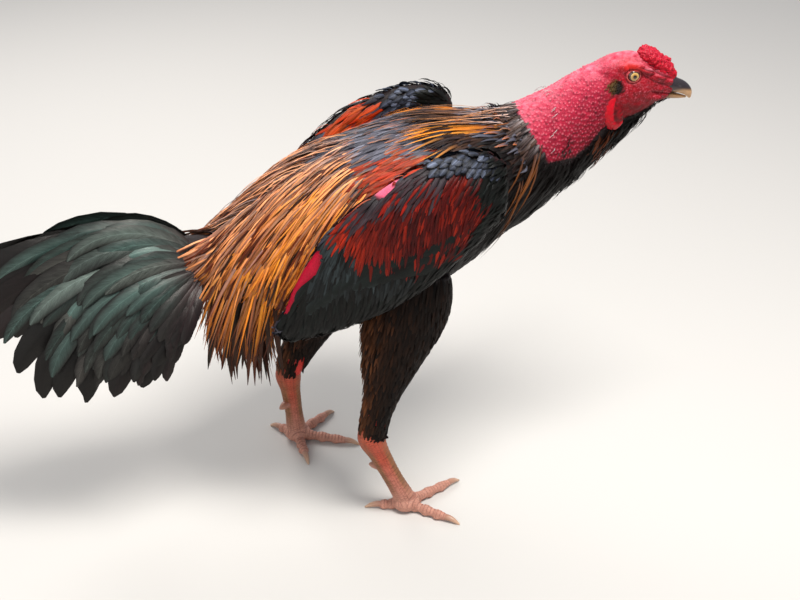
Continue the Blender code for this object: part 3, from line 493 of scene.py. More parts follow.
off_mouth = np.abs(local[:, 2] - MOUTH_LEVEL + 0.06 * (local[:, 0] - 0.036))
lift[(off_mouth < 0.0006) & (local[:, 0] > LINE_OF_MOUTH_BACK)] -= MOUTH_DEPTH
set_points(head_skin, points + normals * lift[:, None])
# The beak's seat: nothing of the skin passes in front of it.
BEAK_SEAT = 0.0385


def seen(red, green, blue):
    """A colour as the eye sees it, from 0 to 255, in the linear values that shaders take."""
    return np.array([(value / 255) ** 2.2 for value in (red, green, blue)])


# Of these, the neck pink and the pale crown are painted highlights on upward faces, and the pale follicle colour
# is a painted highlight on papillae and grains. The deep face red and the crease colour are painted shade, and
# the deep neck red is painted shade and also the colour of dark spots.
FACE_RED = seen(156, 10, 32)
FACE_SHADE = seen(108, 4, 16)
FACE_ORANGE = seen(206, 40, 34)
CREASE_SHADE = seen(70, 6, 12)
NECK_TOP_HIGHLIGHT = seen(202, 58, 86)
NECK_RED = seen(142, 10, 40)
NECK_SHADE_AND_SPOTS = seen(88, 4, 22)
LID_ROSE = seen(176, 92, 84)
EAR_OLIVE = seen(72, 54, 28)
EAR_DARK = seen(22, 14, 10)
PAPILLA_HIGHLIGHT = seen(226, 120, 136)
CROWN_HIGHLIGHT = seen(240, 150, 166)
UNDER_COAT = seen(34, 26, 26)
FLANK_RED = seen(172, 14, 46)


def mix(a, b, share):
    """Colours between a and b, by share or by a row of shares."""
    share = clamp(np.asarray(share, float))[..., None]
    return a * (1 - share) + b * share


# Black feathers cover the neck below this many degrees over its sides, by the distance along it.
THROAT_EDGE = (
    (0.027, 0), (0.045, -22), (0.060, -26), (0.075, -20), (0.090, -34), (0.115, -58), (0.140, -72),
)


def paint(obj, colours, seeds=None):
    """Gives each point of a mesh its own colour; the fourth value is the seed of its feather."""
    colours = np.asarray(colours, np.float32)
    values = np.ones((len(colours), 4), np.float32)
    values[:, :3] = colours
    if seeds is not None:
        values[:, 3] = seeds
    layer = obj.data.color_attributes.new("tint", "FLOAT_COLOR", "POINT")
    layer.data.foreach_set("color", values.ravel())


upward = normals[:, 2]
# Painted light: the bare skin is lighter and pinker where it faces up, a painted highlight, and darker where it
# faces down, painted shade. The face's colours are lit and shaded the same way.
tone = mix(NECK_SHADE_AND_SPOTS, NECK_RED, 0.55 + 0.9 * upward + 0.5 * coarse)
tone = mix(tone, NECK_TOP_HIGHLIGHT, 0.80 * clamp(upward) * (1 - 0.3 * face_share))
spots = clamp((noise_at(points, 500, Vector((7, 3, 1))) - 0.32) / 0.1)
tone = mix(tone, NECK_SHADE_AND_SPOTS * 0.4, 0.5 * spots * (1 - face_share))
# Painted highlights on the tops of the papillae, stronger where they face up.
tone = mix(tone, PAPILLA_HIGHLIGHT, papilla**2 * (0.35 + 0.45 * clamp(upward + 0.4)))
face_tone = mix(FACE_SHADE, FACE_RED, 0.6 + 0.7 * upward + 0.8 * coarse + 0.3 * grain)
face_tone = mix(face_tone, NECK_TOP_HIGHLIGHT, 0.45 * clamp(upward - 0.45) * 2)
# Painted highlights on the face's raised grains, and painted shade in the pits between them.
face_tone = mix(face_tone, PAPILLA_HIGHLIGHT, 0.9 * clamp(np.abs(grain) - 0.22))
face_tone = mix(face_tone, FACE_SHADE * 0.6, np.clip(0.12 - np.abs(grain), 0, 0.12) * 4)
tone = mix(tone, face_tone, face_share)
# A pale painted highlight on the crown, where the skin faces up.
tone = mix(tone, CROWN_HIGHLIGHT, 0.45 * clamp((upward - 0.55) / 0.45) * (0.6 + coarse))
brow = np.exp(-(((local[:, 0] + 0.002) / 0.007) ** 2 + ((local[:, 2] - 0.0075) / 0.003) ** 2))
tone = mix(tone, FACE_ORANGE, face_share * brow)
# Painted shade in the creases, the furrows round the eyes and behind the ears.
tone = mix(tone, CREASE_SHADE, 0.75 * crease)
tone = mix(tone, LID_ROSE, lid_masks * 0.8)
ear_tone = mix(EAR_OLIVE, EAR_DARK, 0.5 + (local[:, 0] - EAR.x) / 0.006)
tone = mix(tone, ear_tone, ear_masks * 0.9)
# Painted shade under the jaw: the face darkens towards its underside.
throat = clamp((-0.014 - local[:, 2]) / 0.010) * face_share
tone = mix(tone, FACE_SHADE * 0.8, throat * 0.75)
side_angle = np.degrees(np.arctan2(-radial @ neck_up, np.abs(radial[:, 1])))
under_cape = np.clip(0.0275 - along_neck, 0, 0.003) / 0.003
on_throat = clamp((read_off(THROAT_EDGE, along_neck) - side_angle) / 5)
tone = mix(tone, UNDER_COAT, np.maximum(under_cape, on_throat))
jaw_points = points[(on_throat > 0.3) & (along_neck > 0.080)]
paint(head_skin, tone)

skin_points = points_of(skin)
skin_tone = np.repeat(UNDER_COAT[None, :], len(skin_points), 0)
# Bare skin shows crimson between each wing's rear edge and the saddle, and pink at one spot above
# the right wing.
FLANK_STRIP = (Vector((-0.046, 0.072, 0.260)), Vector((-0.068, 0.063, 0.224)))
SHOULDER_SPOT = Vector((0.014, -0.074, 0.317))
BARE_PINK = seen(226, 96, 124)
THIGH_RED = seen(200, 60, 52)
for side in (LEFT, RIGHT):
    top, bottom = (np.array(mirrored(end, side)) for end in FLANK_STRIP)
    share = clamp((skin_points - top) @ (bottom - top) / ((bottom - top) @ (bottom - top)))
    off = np.linalg.norm(skin_points - top - share[:, None] * (bottom - top), axis=1)
    skin_tone = mix(skin_tone, FLANK_RED, (0.020 - off) / 0.005)
off = np.linalg.norm(skin_points - np.array(SHOULDER_SPOT), axis=1)
skin_tone = mix(skin_tone, BARE_PINK, (0.012 - off) / 0.004)
# Red shows above the hocks too.
low = skin_points[:, 2] < 0.125
skin_tone[low] = mix(skin_tone[low], THIGH_RED, (0.118 - skin_points[low, 2]) / 0.01)
paint(skin, skin_tone)


def node_group(name, inputs, outputs):
    """A shader group with named number, vector or colour sockets, and its input and output nodes."""
    kinds = {"number": "NodeSocketFloat", "vector": "NodeSocketVector", "colour": "NodeSocketColor"}
    group = bpy.data.node_groups.new(name, "ShaderNodeTree")
    for socket, (kind, value) in inputs.items():
        made = group.interface.new_socket(socket, in_out="INPUT", socket_type=kinds[kind])
        if value is not None:
            made.default_value = value
    for socket, kind in outputs.items():
        group.interface.new_socket(socket, in_out="OUTPUT", socket_type=kinds[kind])
    return group, group.nodes.new("NodeGroupInput"), group.nodes.new("NodeGroupOutput")


def math_node(tree, operation, *values):
    """A maths node fed by sockets or plain numbers; its result."""
    node = tree.nodes.new("ShaderNodeMath")
    node.operation = operation
    for socket, value in zip(node.inputs, values):
        if isinstance(value, (int, float)):
            socket.default_value = value
        else:
            tree.links.new(value, socket)
    return node.outputs[0]


def scaled_colour(tree, colour, value):
    """A colour made lighter or darker by a number."""
    node = tree.nodes.new("ShaderNodeVectorMath")
    node.operation = "SCALE"
    tree.links.new(colour, node.inputs[0])
    tree.links.new(value, node.inputs["Scale"])
    return node.outputs["Vector"]


def painted_material(name, group, values, bump, depth, looks):
    """A material in its points' own colours, which a group with the given values shades and raises."""
    material = bpy.data.materials.new(name)
    material.use_nodes = True
    tree = material.node_tree
    shader = tree.nodes["Principled BSDF"]
    tint = tree.nodes.new("ShaderNodeAttribute")
    tint.attribute_name = "tint"
    pattern = tree.nodes.new("ShaderNodeGroup")
    pattern.node_tree = group
    for socket, value in values.items():
        pattern.inputs[socket].default_value = value
    if "Seed" in pattern.inputs:
        tree.links.new(tint.outputs["Alpha"], pattern.inputs["Seed"])
    raised = tree.nodes.new("ShaderNodeBump")
    raised.inputs["Strength"].default_value = bump
    raised.inputs["Distance"].default_value = depth
    tree.links.new(pattern.outputs["Height"], raised.inputs["Height"])
    tree.links.new(raised.outputs["Normal"], shader.inputs["Normal"])
    colour = scaled_colour(tree, tint.outputs["Color"], pattern.outputs["Shade"])
    tree.links.new(colour, shader.inputs["Base Color"])
    for socket, value in looks.items():
        shader.inputs[socket].default_value = value
    return material


grain_group, grain_in, grain_out = node_group(
    "skin grain",
    {"Scale": ("number", 1500.0), "Contrast": ("number", 0.3)},
    {"Shade": "number", "Height": "number"},
)
spot = grain_group.nodes.new("ShaderNodeTexCoord")
cells = grain_group.nodes.new("ShaderNodeTexVoronoi")
cells.feature = "SMOOTH_F1"
blotch = grain_group.nodes.new("ShaderNodeTexNoise")
blotch.inputs["Scale"].default_value = 140
blotch.inputs["Detail"].default_value = 6
for texture in (cells, blotch):
    grain_group.links.new(spot.outputs["Object"], texture.inputs["Vector"])
grain_group.links.new(grain_in.outputs["Scale"], cells.inputs["Scale"])
height = math_node(grain_group, "SUBTRACT", 1.0, cells.outputs["Distance"])
mottle = math_node(grain_group, "SUBTRACT", blotch.outputs["Fac"], 0.5)
# Painted shade: the colour is darker between the grains and lighter on their tops, besides its own mottling.
shade = math_node(grain_group, "ADD", math_node(grain_group, "SUBTRACT", height, 0.6), mottle)
shade = math_node(grain_group, "MULTIPLY_ADD", shade, grain_in.outputs["Contrast"], 1.0)
grain_group.links.new(shade, grain_out.inputs["Shade"])
grain_group.links.new(height, grain_out.inputs["Height"])


def skin_material(name, scale, contrast, roughness, bump, wet=0.0, glow=0.0):
    """Bare skin: its points' colours, mottled, under a fine grain with painted shade between the grains."""
    return painted_material(name, grain_group, {"Scale": scale, "Contrast": contrast}, bump, 0.0004, {
        "Roughness": roughness,
        "Specular IOR Level": 0.22,
        "Coat Weight": wet,
        "Coat Roughness": 0.3,
        "Subsurface Weight": glow,
        "Subsurface Radius": (0.003, 0.0008, 0.0006),
        "Subsurface Scale": 1.0,
    })


def finish(obj, material, slot, *nodes):
    """Puts a piece in its place, with its material and the solids it stands for. The finish slot is not used."""
    obj.data.transform(Matrix.Translation(STAND_SHIFT))
    obj.data.materials.clear()
    obj.data.materials.append(material)
    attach(obj, "root")
    if nodes:
        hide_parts(*nodes)


def join(obj, *others):
    """Makes one mesh of several objects, keeping their points' colours."""
    with bpy.context.temp_override(active_object=obj, selected_editable_objects=[obj, *others]):
        bpy.ops.object.join()


def trim(obj, keep):
    """Removes the points for which keep is false."""
    edit = bmesh.new()
    edit.from_mesh(obj.data)
    edit.verts.ensure_lookup_table()
    gone = [edit.verts[i] for i in np.nonzero(~keep)[0]]
    bmesh.ops.delete(edit, geom=gone, context="VERTS")
    edit.to_mesh(obj.data)
    edit.free()


trim(head_skin, (along_neck > -0.030) & (local[:, 0] < BEAK_SEAT + 0.34 * (local[:, 2] + 0.006)))
head_skin.data.materials.append(skin_material("bare_skin", 1500, 0.6, 0.5, 0.4, glow=0.12))
join(skin, head_skin)
finish(
    skin, bpy.data.materials["bare_skin"], "neck_skin",
    "torso", "saddle", "hackle", "neck", "head", "wing_left", "wing_right", "thigh_left", "thigh_right",
)

# The eyes: wet globes set deep behind the lids, with an amber iris, a small round pupil and a
# dark rim. Only the cap of each that the lids leave open is made, closed behind.
EYE_LOOK = Vector((0.10, 1.0, 0.04)).normalized()
EYE_CAP = math.radians(100)
EYE_STATIONS = 90
EYE_ROUND = 96
CORNEA_RISE = 0.0004
PUPIL = seen(14, 8, 8)
IRIS_INNER = seen(150, 104, 44)
IRIS_OUTER = seen(206, 168, 96)
IRIS_RIM = seen(52, 34, 18)
EYE_EDGE = seen(70, 36, 32)
# Where each ring of the eye ends, as a radius on the globe.
EYE_RINGS = (
    (0.0, PUPIL), (0.0013, PUPIL), (0.0015, IRIS_INNER), (0.0030, IRIS_OUTER), (0.0034, IRIS_RIM),
    (0.0042, EYE_EDGE), (0.009, EYE_EDGE),
)
eye_material = bpy.data.materials.new("eye")
eye_material.use_nodes = True
eye_tree = eye_material.node_tree
eye_shader = eye_tree.nodes["Principled BSDF"]
eye_tint = eye_tree.nodes.new("ShaderNodeAttribute")
eye_tint.attribute_name = "tint"
eye_tree.links.new(eye_tint.outputs["Color"], eye_shader.inputs["Base Color"])
eye_shader.inputs["Roughness"].default_value = 0.18
eye_shader.inputs["Coat Weight"].default_value = 1.0
eye_shader.inputs["Coat Roughness"].default_value = 0.02
for side in (LEFT, RIGHT):
    look = mirrored(EYE_LOOK, side)
    turn = look.to_track_quat("Z", "X").to_matrix()
    centre = mirrored(EYE, side)
    angles = np.linspace(0.0, EYE_CAP, EYE_STATIONS)[1:]
    rings = []
    for angle in angles:
        bulge = EYE_RADIUS + CORNEA_RISE * math.exp(-((angle / 0.5) ** 2))
        ring = []
        for k in range(EYE_ROUND):
            spin = 2 * math.pi * k / EYE_ROUND
            off_axis = math.sin(angle)
            spot = Vector((off_axis * math.cos(spin), off_axis * math.sin(spin), math.cos(angle)))
            ring.append(centre + turn @ spot * bulge)
        rings.append(ring)
    ends = [centre + look * (EYE_RADIUS + CORNEA_RISE), centre - look * EYE_RADIUS * 0.9]
    eye = mesh_of("eyeball_" + SIDE_NAMES[side], [moved(lofted(rings, ends), head_frame)])
    reach = np.append(np.repeat(np.sin(angles) * EYE_RADIUS, EYE_ROUND), (0.0, EYE_RADIUS))
    spin = np.append(np.tile(2 * math.pi * np.arange(EYE_ROUND) / EYE_ROUND, len(angles)), (0.0, 0.0))
    stops = [stop for stop, _ in EYE_RINGS]
    colours = np.stack([np.interp(reach, stops, [tone[i] for _, tone in EYE_RINGS]) for i in range(3)], 1)
    in_iris = (reach > 0.0014) & (reach < 0.0031)
    ray = 1 + 0.20 * np.sin(spin * 37 + 3 * np.sin(spin * 5)) * in_iris
    paint(eye, colours * ray[:, None])
    eye.data.shade_smooth()
    finish(eye, eye_material, "eye", "eye_" + SIDE_NAMES[side])

# The beak: two halves of horn over bone, blue-black where they leave the face and worn to pale
# tan at the tip. The upper one hooks over the lower, and has a nostril on each side.
# Sections in the head's frame, as the neck's.
UPPER_BEAK = (
    (0.0320, 0.0, -0.0042, 0.0082, 0.0060, 0.0075),
    (0.0400, 0.0, -0.0050, 0.0068, 0.0055, 0.0064),
    (0.0470, 0.0, -0.0058, 0.0058, 0.0046, 0.0050),
    (0.0525, 0.0, -0.0085, 0.0042, 0.0032, 0.0032),
    (0.0560, 0.0, -0.0125, 0.0012, 0.0012, 0.0010),
)
LOWER_BEAK = (
    (0.0300, 0.0, -0.0140, 0.0030, 0.0035, 0.0060),
    (0.0380, 0.0, -0.0135, 0.0025, 0.0028, 0.0050),
    (0.0460, 0.0, -0.0130, 0.0018, 0.0020, 0.0032),
    (0.0525, 0.0, -0.0126, 0.0008, 0.0008, 0.0014),
)
HORN_DARK = seen(32, 30, 38)
HORN_BROWN = seen(84, 58, 44)
HORN_PALE = seen(186, 144, 102)
NOSTRIL = Vector((0.0425, 0.0056, -0.0026))
NOSTRIL_HALF_LONG = 0.0024
NOSTRIL_HALF_HIGH = 0.0009
NOSTRIL_DEPTH = 0.0012
HALF_BEAK_GAP = 0.00015
HOOK_START = 0.0515


def horn_material(name, roughness, coat):
    """Horn: its points' colours under fine growth lines, polished by use."""
    looks = {"Roughness": roughness, "Coat Weight": coat, "Coat Roughness": 0.2}
    return painted_material(name, grain_group, {"Scale": 700, "Contrast": 0.18}, 0.12, 0.0003, looks)


beak_material = horn_material("beak_horn", 0.32, 0.35)
for half, rows in (("upper", UPPER_BEAK), ("lower", LOWER_BEAK)):
    beak = mesh_of("bill_" + half, [lofted(path_sections(rows, 60, 56, 2.0, ACROSS))])
    points = points_of(beak)
    if half == "upper":
        lip = MOUTH_LEVEL + HALF_BEAK_GAP
        tucked = (points[:, 2] < lip) & (points[:, 0] < HOOK_START)
        points[tucked, 2] = lip + 0.15 * (points[tucked, 2] - lip)
        for side in (LEFT, RIGHT):
            hole = np.hypot(
                (points[:, 0] - NOSTRIL.x) / NOSTRIL_HALF_LONG, (points[:, 2] - NOSTRIL.z) / NOSTRIL_HALF_HIGH
            )
            own = (np.sign(points[:, 1]) == side) & (hole < 1.6)
            brim = 0.0003 * hump(hole[own] - 1.35, 0.15)
            points[own, 1] -= side * (NOSTRIL_DEPTH * clamp(1.2 - hole[own]) - brim)
    else:
        lip = MOUTH_LEVEL - HALF_BEAK_GAP
        over = points[:, 2] > lip
        points[over, 2] = lip + 0.1 * (points[over, 2] - lip)
    set_points(beak, points)
    to_tip = clamp((points[:, 0] - 0.0350) / 0.0130)
    lower_side = clamp((-0.0034 - points[:, 2]) / 0.0050)
    colours = mix(HORN_DARK, HORN_BROWN, 0.10 + 1.1 * to_tip * lower_side)
    colours = mix(colours, HORN_PALE, 2.0 * to_tip * lower_side - 0.45)
    if half == "lower":
        colours = mix(HORN_BROWN, HORN_PALE, 0.25 + 0.5 * to_tip)
    paint(beak, colours)
    beak.data.transform(head_frame)
    beak.data.shade_smooth()
    finish(beak, beak_material, "beak_horn", "beak_" + half)

# The comb: a low lumpy cushion of red flesh on the forehead, in three rows of soft beads. It grows
# from the skin, so its edge is sunk in it, and fine grains cover it.
# Cushion sections in the head's frame, as the neck's.
COMB_CUSHION = (
    (0.0040, 0.0, 0.0140, 0.0030, 0.0030, 0.0040),
    (0.0080, 0.0, 0.0158, 0.0062, 0.0045, 0.0076),
    (0.0140, 0.0, 0.0152, 0.0064, 0.0045, 0.0090),
    (0.0210, 0.0, 0.0118, 0.0062, 0.0045, 0.0086),
    (0.0280, 0.0, 0.0082, 0.0064, 0.0045, 0.0074),
    (0.0335, 0.0, 0.0046, 0.0052, 0.0040, 0.0058),
    (0.0385, 0.0, 0.0020, 0.0030, 0.0030, 0.0034),
)
# Knobs: centre and radius; those off the middle line stand on both sides.
COMB_KNOBS = (
    (0.0085, 0.0, 0.0186, 0.0046),
    (0.0145, 0.0, 0.0184, 0.0040),
    (0.0210, 0.0, 0.0150, 0.0040),
    (0.0272, 0.0, 0.0132, 0.0042),
    (0.0330, 0.0, 0.0076, 0.0034),
    (0.0086, 0.0054, 0.0150, 0.0038),
    (0.0146, 0.0062, 0.0130, 0.0036),
    (0.0200, 0.0062, 0.0104, 0.0034),
    (0.0260, 0.0054, 0.0074, 0.0034),
    (0.0318, 0.0040, 0.0044, 0.0030),
)
COMB_RED = seen(182, 16, 40)
COMB_SHADE = seen(98, 4, 18)
COMB_VOXEL = 0.00038
BEADS_PER_KNOB = 5
HOLLOW_REACH = 0.004
draw = random.Random(11)
comb_bodies = [lofted(path_sections(COMB_CUSHION, 50, 40, 2.2, ACROSS))]
for x, y, z, radius in COMB_KNOBS:
    for side in (LEFT, RIGHT) if y else (LEFT,):
        comb_bodies.append(ball_body((x, side * y, z), (radius * 1.1, radius * 0.8, radius)))
        for _ in range(BEADS_PER_KNOB):
            way = Vector((draw.gauss(0, 1), draw.gauss(0, 1), abs(draw.gauss(0, 1)) + 0.2)).normalized()
            bead = radius * draw.uniform(0.20, 0.38)
            spot = Vector((x, side * y, z)) + way * (radius * 1.1 - bead)
            comb_bodies.append(ball_body(spot, (bead,) * 3, 10, 7))
comb = mesh_of("comb_flesh", [moved(body, head_frame) for body in comb_bodies])
remesh(comb, COMB_VOXEL, 8)
points = points_of(comb)
normals = normals_of(comb)
lumps = noise_at(points, 380)
grain = noise_at(points, 950) + 0.5 * noise_at(points, 2100)
set_points(comb, points + normals * (0.0013 * lumps + 0.0006 * grain)[:, None])
comb_tree = tree_of(comb)
hollow = np.array([
    comb_tree.ray_cast(Vector(p) + Vector(n) * 0.0002, Vector(n), HOLLOW_REACH)[0] is not None
    for p, n in zip(points, normals)
])
# A painted highlight on the comb's top, and painted shade in its hollows and on the low parts of its lumps and
# grains.
tone = mix(COMB_RED, NECK_TOP_HIGHLIGHT, 0.30 * clamp(normals[:, 2]))
paint(comb, mix(tone, COMB_SHADE, 0.6 * hollow - 0.7 * lumps - 0.5 * grain))
comb_material = skin_material("comb_flesh", 1700, 0.4, 0.45, 0.3, wet=0.06, glow=0.15)
comb.data.shade_smooth()
finish(comb, comb_material, "comb_flesh", "comb")

# The ear lobes: a smooth bright red flap of skin that hangs below each ear and is folded along its
# rear edge.
# Sections down one lobe: centre, half width fore and aft, half thickness.
LOBE = (
    (-0.0130, 0.0138, -0.0130, 0.0040, 0.0024),
    (-0.0105, 0.0166, -0.0200, 0.0080, 0.0032),
    (-0.0078, 0.0188, -0.0290, 0.0094, 0.0036),
    (-0.0056, 0.0190, -0.0375, 0.0086, 0.0034),
    (-0.0048, 0.0174, -0.0445, 0.0044, 0.0022),
)
LOBE_RED = seen(184, 6, 32)
LOBE_SHADE = seen(80, 3, 14)
LOBE_VOXEL = 0.0005
LOBE_HOLLOW = (-0.0015, -0.0240)
LOBE_HOLLOW_HALVES = (0.0066, 0.0135)
lobe_material = skin_material("lobe_flesh", 900, 0.22, 0.36, 0.12, wet=0.15, glow=0.15)
for side in (LEFT, RIGHT):
    rows = [(x, side * y, z, across, across, along) for x, y, z, along, across in LOBE]
    flap = lofted(path_sections(rows, 40, 40, 2.0, Vector((1, 0, 0))))
    lobe = mesh_of("lobe_flesh_" + SIDE_NAMES[side], [flap])
    remesh(lobe, LOBE_VOXEL, 3)
    points = points_of(lobe)
    normals = normals_of(lobe)
    # The front of the flap is sunk in a hollow, and its rear and lower edge stand out as a fold. The groove along
    # the fold and the sunk front are painted darker, as painted shade.
    hollow_at = np.linalg.norm((points[:, (0, 2)] - LOBE_HOLLOW) / LOBE_HOLLOW_HALVES, axis=1)
    groove = hump(hollow_at - 1.0, 0.14)
    rough = noise_at(points, 420)
    front = clamp((1.05 - hollow_at) / 0.25)
    set_points(lobe, points + normals * (-0.0008 * groove + 0.0004 * rough - 0.0013 * front)[:, None])
    paint(lobe, mix(LOBE_RED, LOBE_SHADE, 0.7 * groove + 0.8 * front + 0.3 * rough))
    lobe.data.transform(head_frame)
    lobe.data.shade_smooth()
    finish(lobe, lobe_material, "comb_flesh", "lobe_" + SIDE_NAMES[side])

# The shanks and feet: bare skin under horny plates. Large plates overlap down the front of each
# shank and along the top of each toe, small ones net the sides, and soft pads lie underneath.
FEET = {RIGHT: Vector((0.033, -0.065, 0.0)), LEFT: Vector((-0.038, 0.062, 0.0))}
# Shank sections as the thigh's.
SHANKS = {
    RIGHT: (
        (0.002, -0.064, 0.092, 0.0085, 0.0075),
        (0.003, -0.064, 0.080, 0.0115, 0.0095),
        (0.010, -0.064, 0.062, 0.0090, 0.0075),
        (0.022, -0.065, 0.034, 0.0080, 0.0070),
        (0.031, -0.065, 0.014, 0.0090, 0.0085),
    ),
    LEFT: (
        (-0.046, 0.049, 0.092, 0.0085, 0.0075),
        (-0.046, 0.050, 0.080, 0.0115, 0.0095),
        (-0.044, 0.053, 0.062, 0.0090, 0.0075),
        (-0.041, 0.058, 0.034, 0.0080, 0.0070),
        (-0.039, 0.062, 0.014, 0.0090, 0.0085),
    ),
}
# Toes: bearing in degrees and length with the claw.
TOES = {
    RIGHT: {"middle": (24, 0.062), "outer": (-42, 0.052), "inner": (86, 0.046), "hind": (164, 0.036)},
    LEFT: {"middle": (-26, 0.060), "outer": (38, 0.054), "inner": (-88, 0.044), "hind": (128, 0.034)},
}
# Toe: share of its length, height of its middle line, share of the radius.
TOE = (
    (-0.10, 0.0085, 0.90),
    (0.14, 0.0070, 1.05),
    (0.38, 0.0048, 0.84),
    (0.50, 0.0050, 0.96),
    (0.68, 0.0042, 0.76),
    (0.80, 0.0042, 0.86),
    (1.0, 0.0036, 0.60),
)
TOE_RADIUS = 0.0046
CLAW_LENGTH = 0.013
CLAW_RADIUS = 0.0027
# Claw: share of its length, height of its middle line, share of the radius. Its tip rests on the floor.
CLAW = (
    (-0.25, 0.0036, 0.85),
    (0.1, 0.0040, 1.0),
    (0.5, 0.0032, 0.8),
    (0.85, 0.0011, 0.45),
    (1.0, 0.0004, 0.18),
)
# Spur: share of its length, radius.
SPUR = ((-0.3, 0.0040), (0.0, 0.0042), (0.5, 0.0038), (0.8, 0.0026), (1.0, 0.0010))
SPUR_LENGTH = 0.013
PLATE_SPACING = 0.0042
TOE_PLATE_SPACING = 0.0031
SIDE_PLATE_SPACING = 0.0024
LEG_VOXEL = 0.00055
SHANK_RED = seen(180, 80, 60)
SHANK_OLIVE = seen(118, 88, 56)
TOE_PINK = seen(188, 134, 116)
GROOVE_DARK = seen(96, 50, 40)
CLAW_ROOT = seen(166, 118, 98)
CLAW_TIP = seen(196, 160, 132)


def bearing_way(bearing):
    """The level way at a bearing in degrees."""
    return Vector((math.cos(math.radians(bearing)), math.sin(math.radians(bearing)), 0))


def digit_body(foot, bearing, start, reach, shape, radius, stations, count):
    """A toe or claw along its bearing, from rows of share, height of its middle, share of the radius."""
    way = bearing_way(bearing)
    rows = []
    for share, height, wide in shape:
        place = foot + way * (start + reach * share) + UP * height
        rows.append((*place, *(radius * wide,) * 3))
    return lofted(path_sections(rows, stations, count, 2.0, UP.cross(way)))


def plate_rows(along, round_share, spacing, half_round):
    """The rise and the groove of overlapping plates: along in metres, round_share from -1 to 1."""
    column = np.floor((round_share + 1) / 2 * half_round)
    place = along / spacing + 0.5 * (column % 2)
    inside = place - np.floor(place)
    rise = 0.00045 * (inside - 0.35)
    groove = hump(np.minimum(inside, 1 - inside), 0.10)
    edge = (round_share + 1) / 2 * half_round - column
    seam = hump(np.minimum(edge, 1 - edge), 0.07) * (half_round > 1)
    return rise, np.maximum(groove, seam)


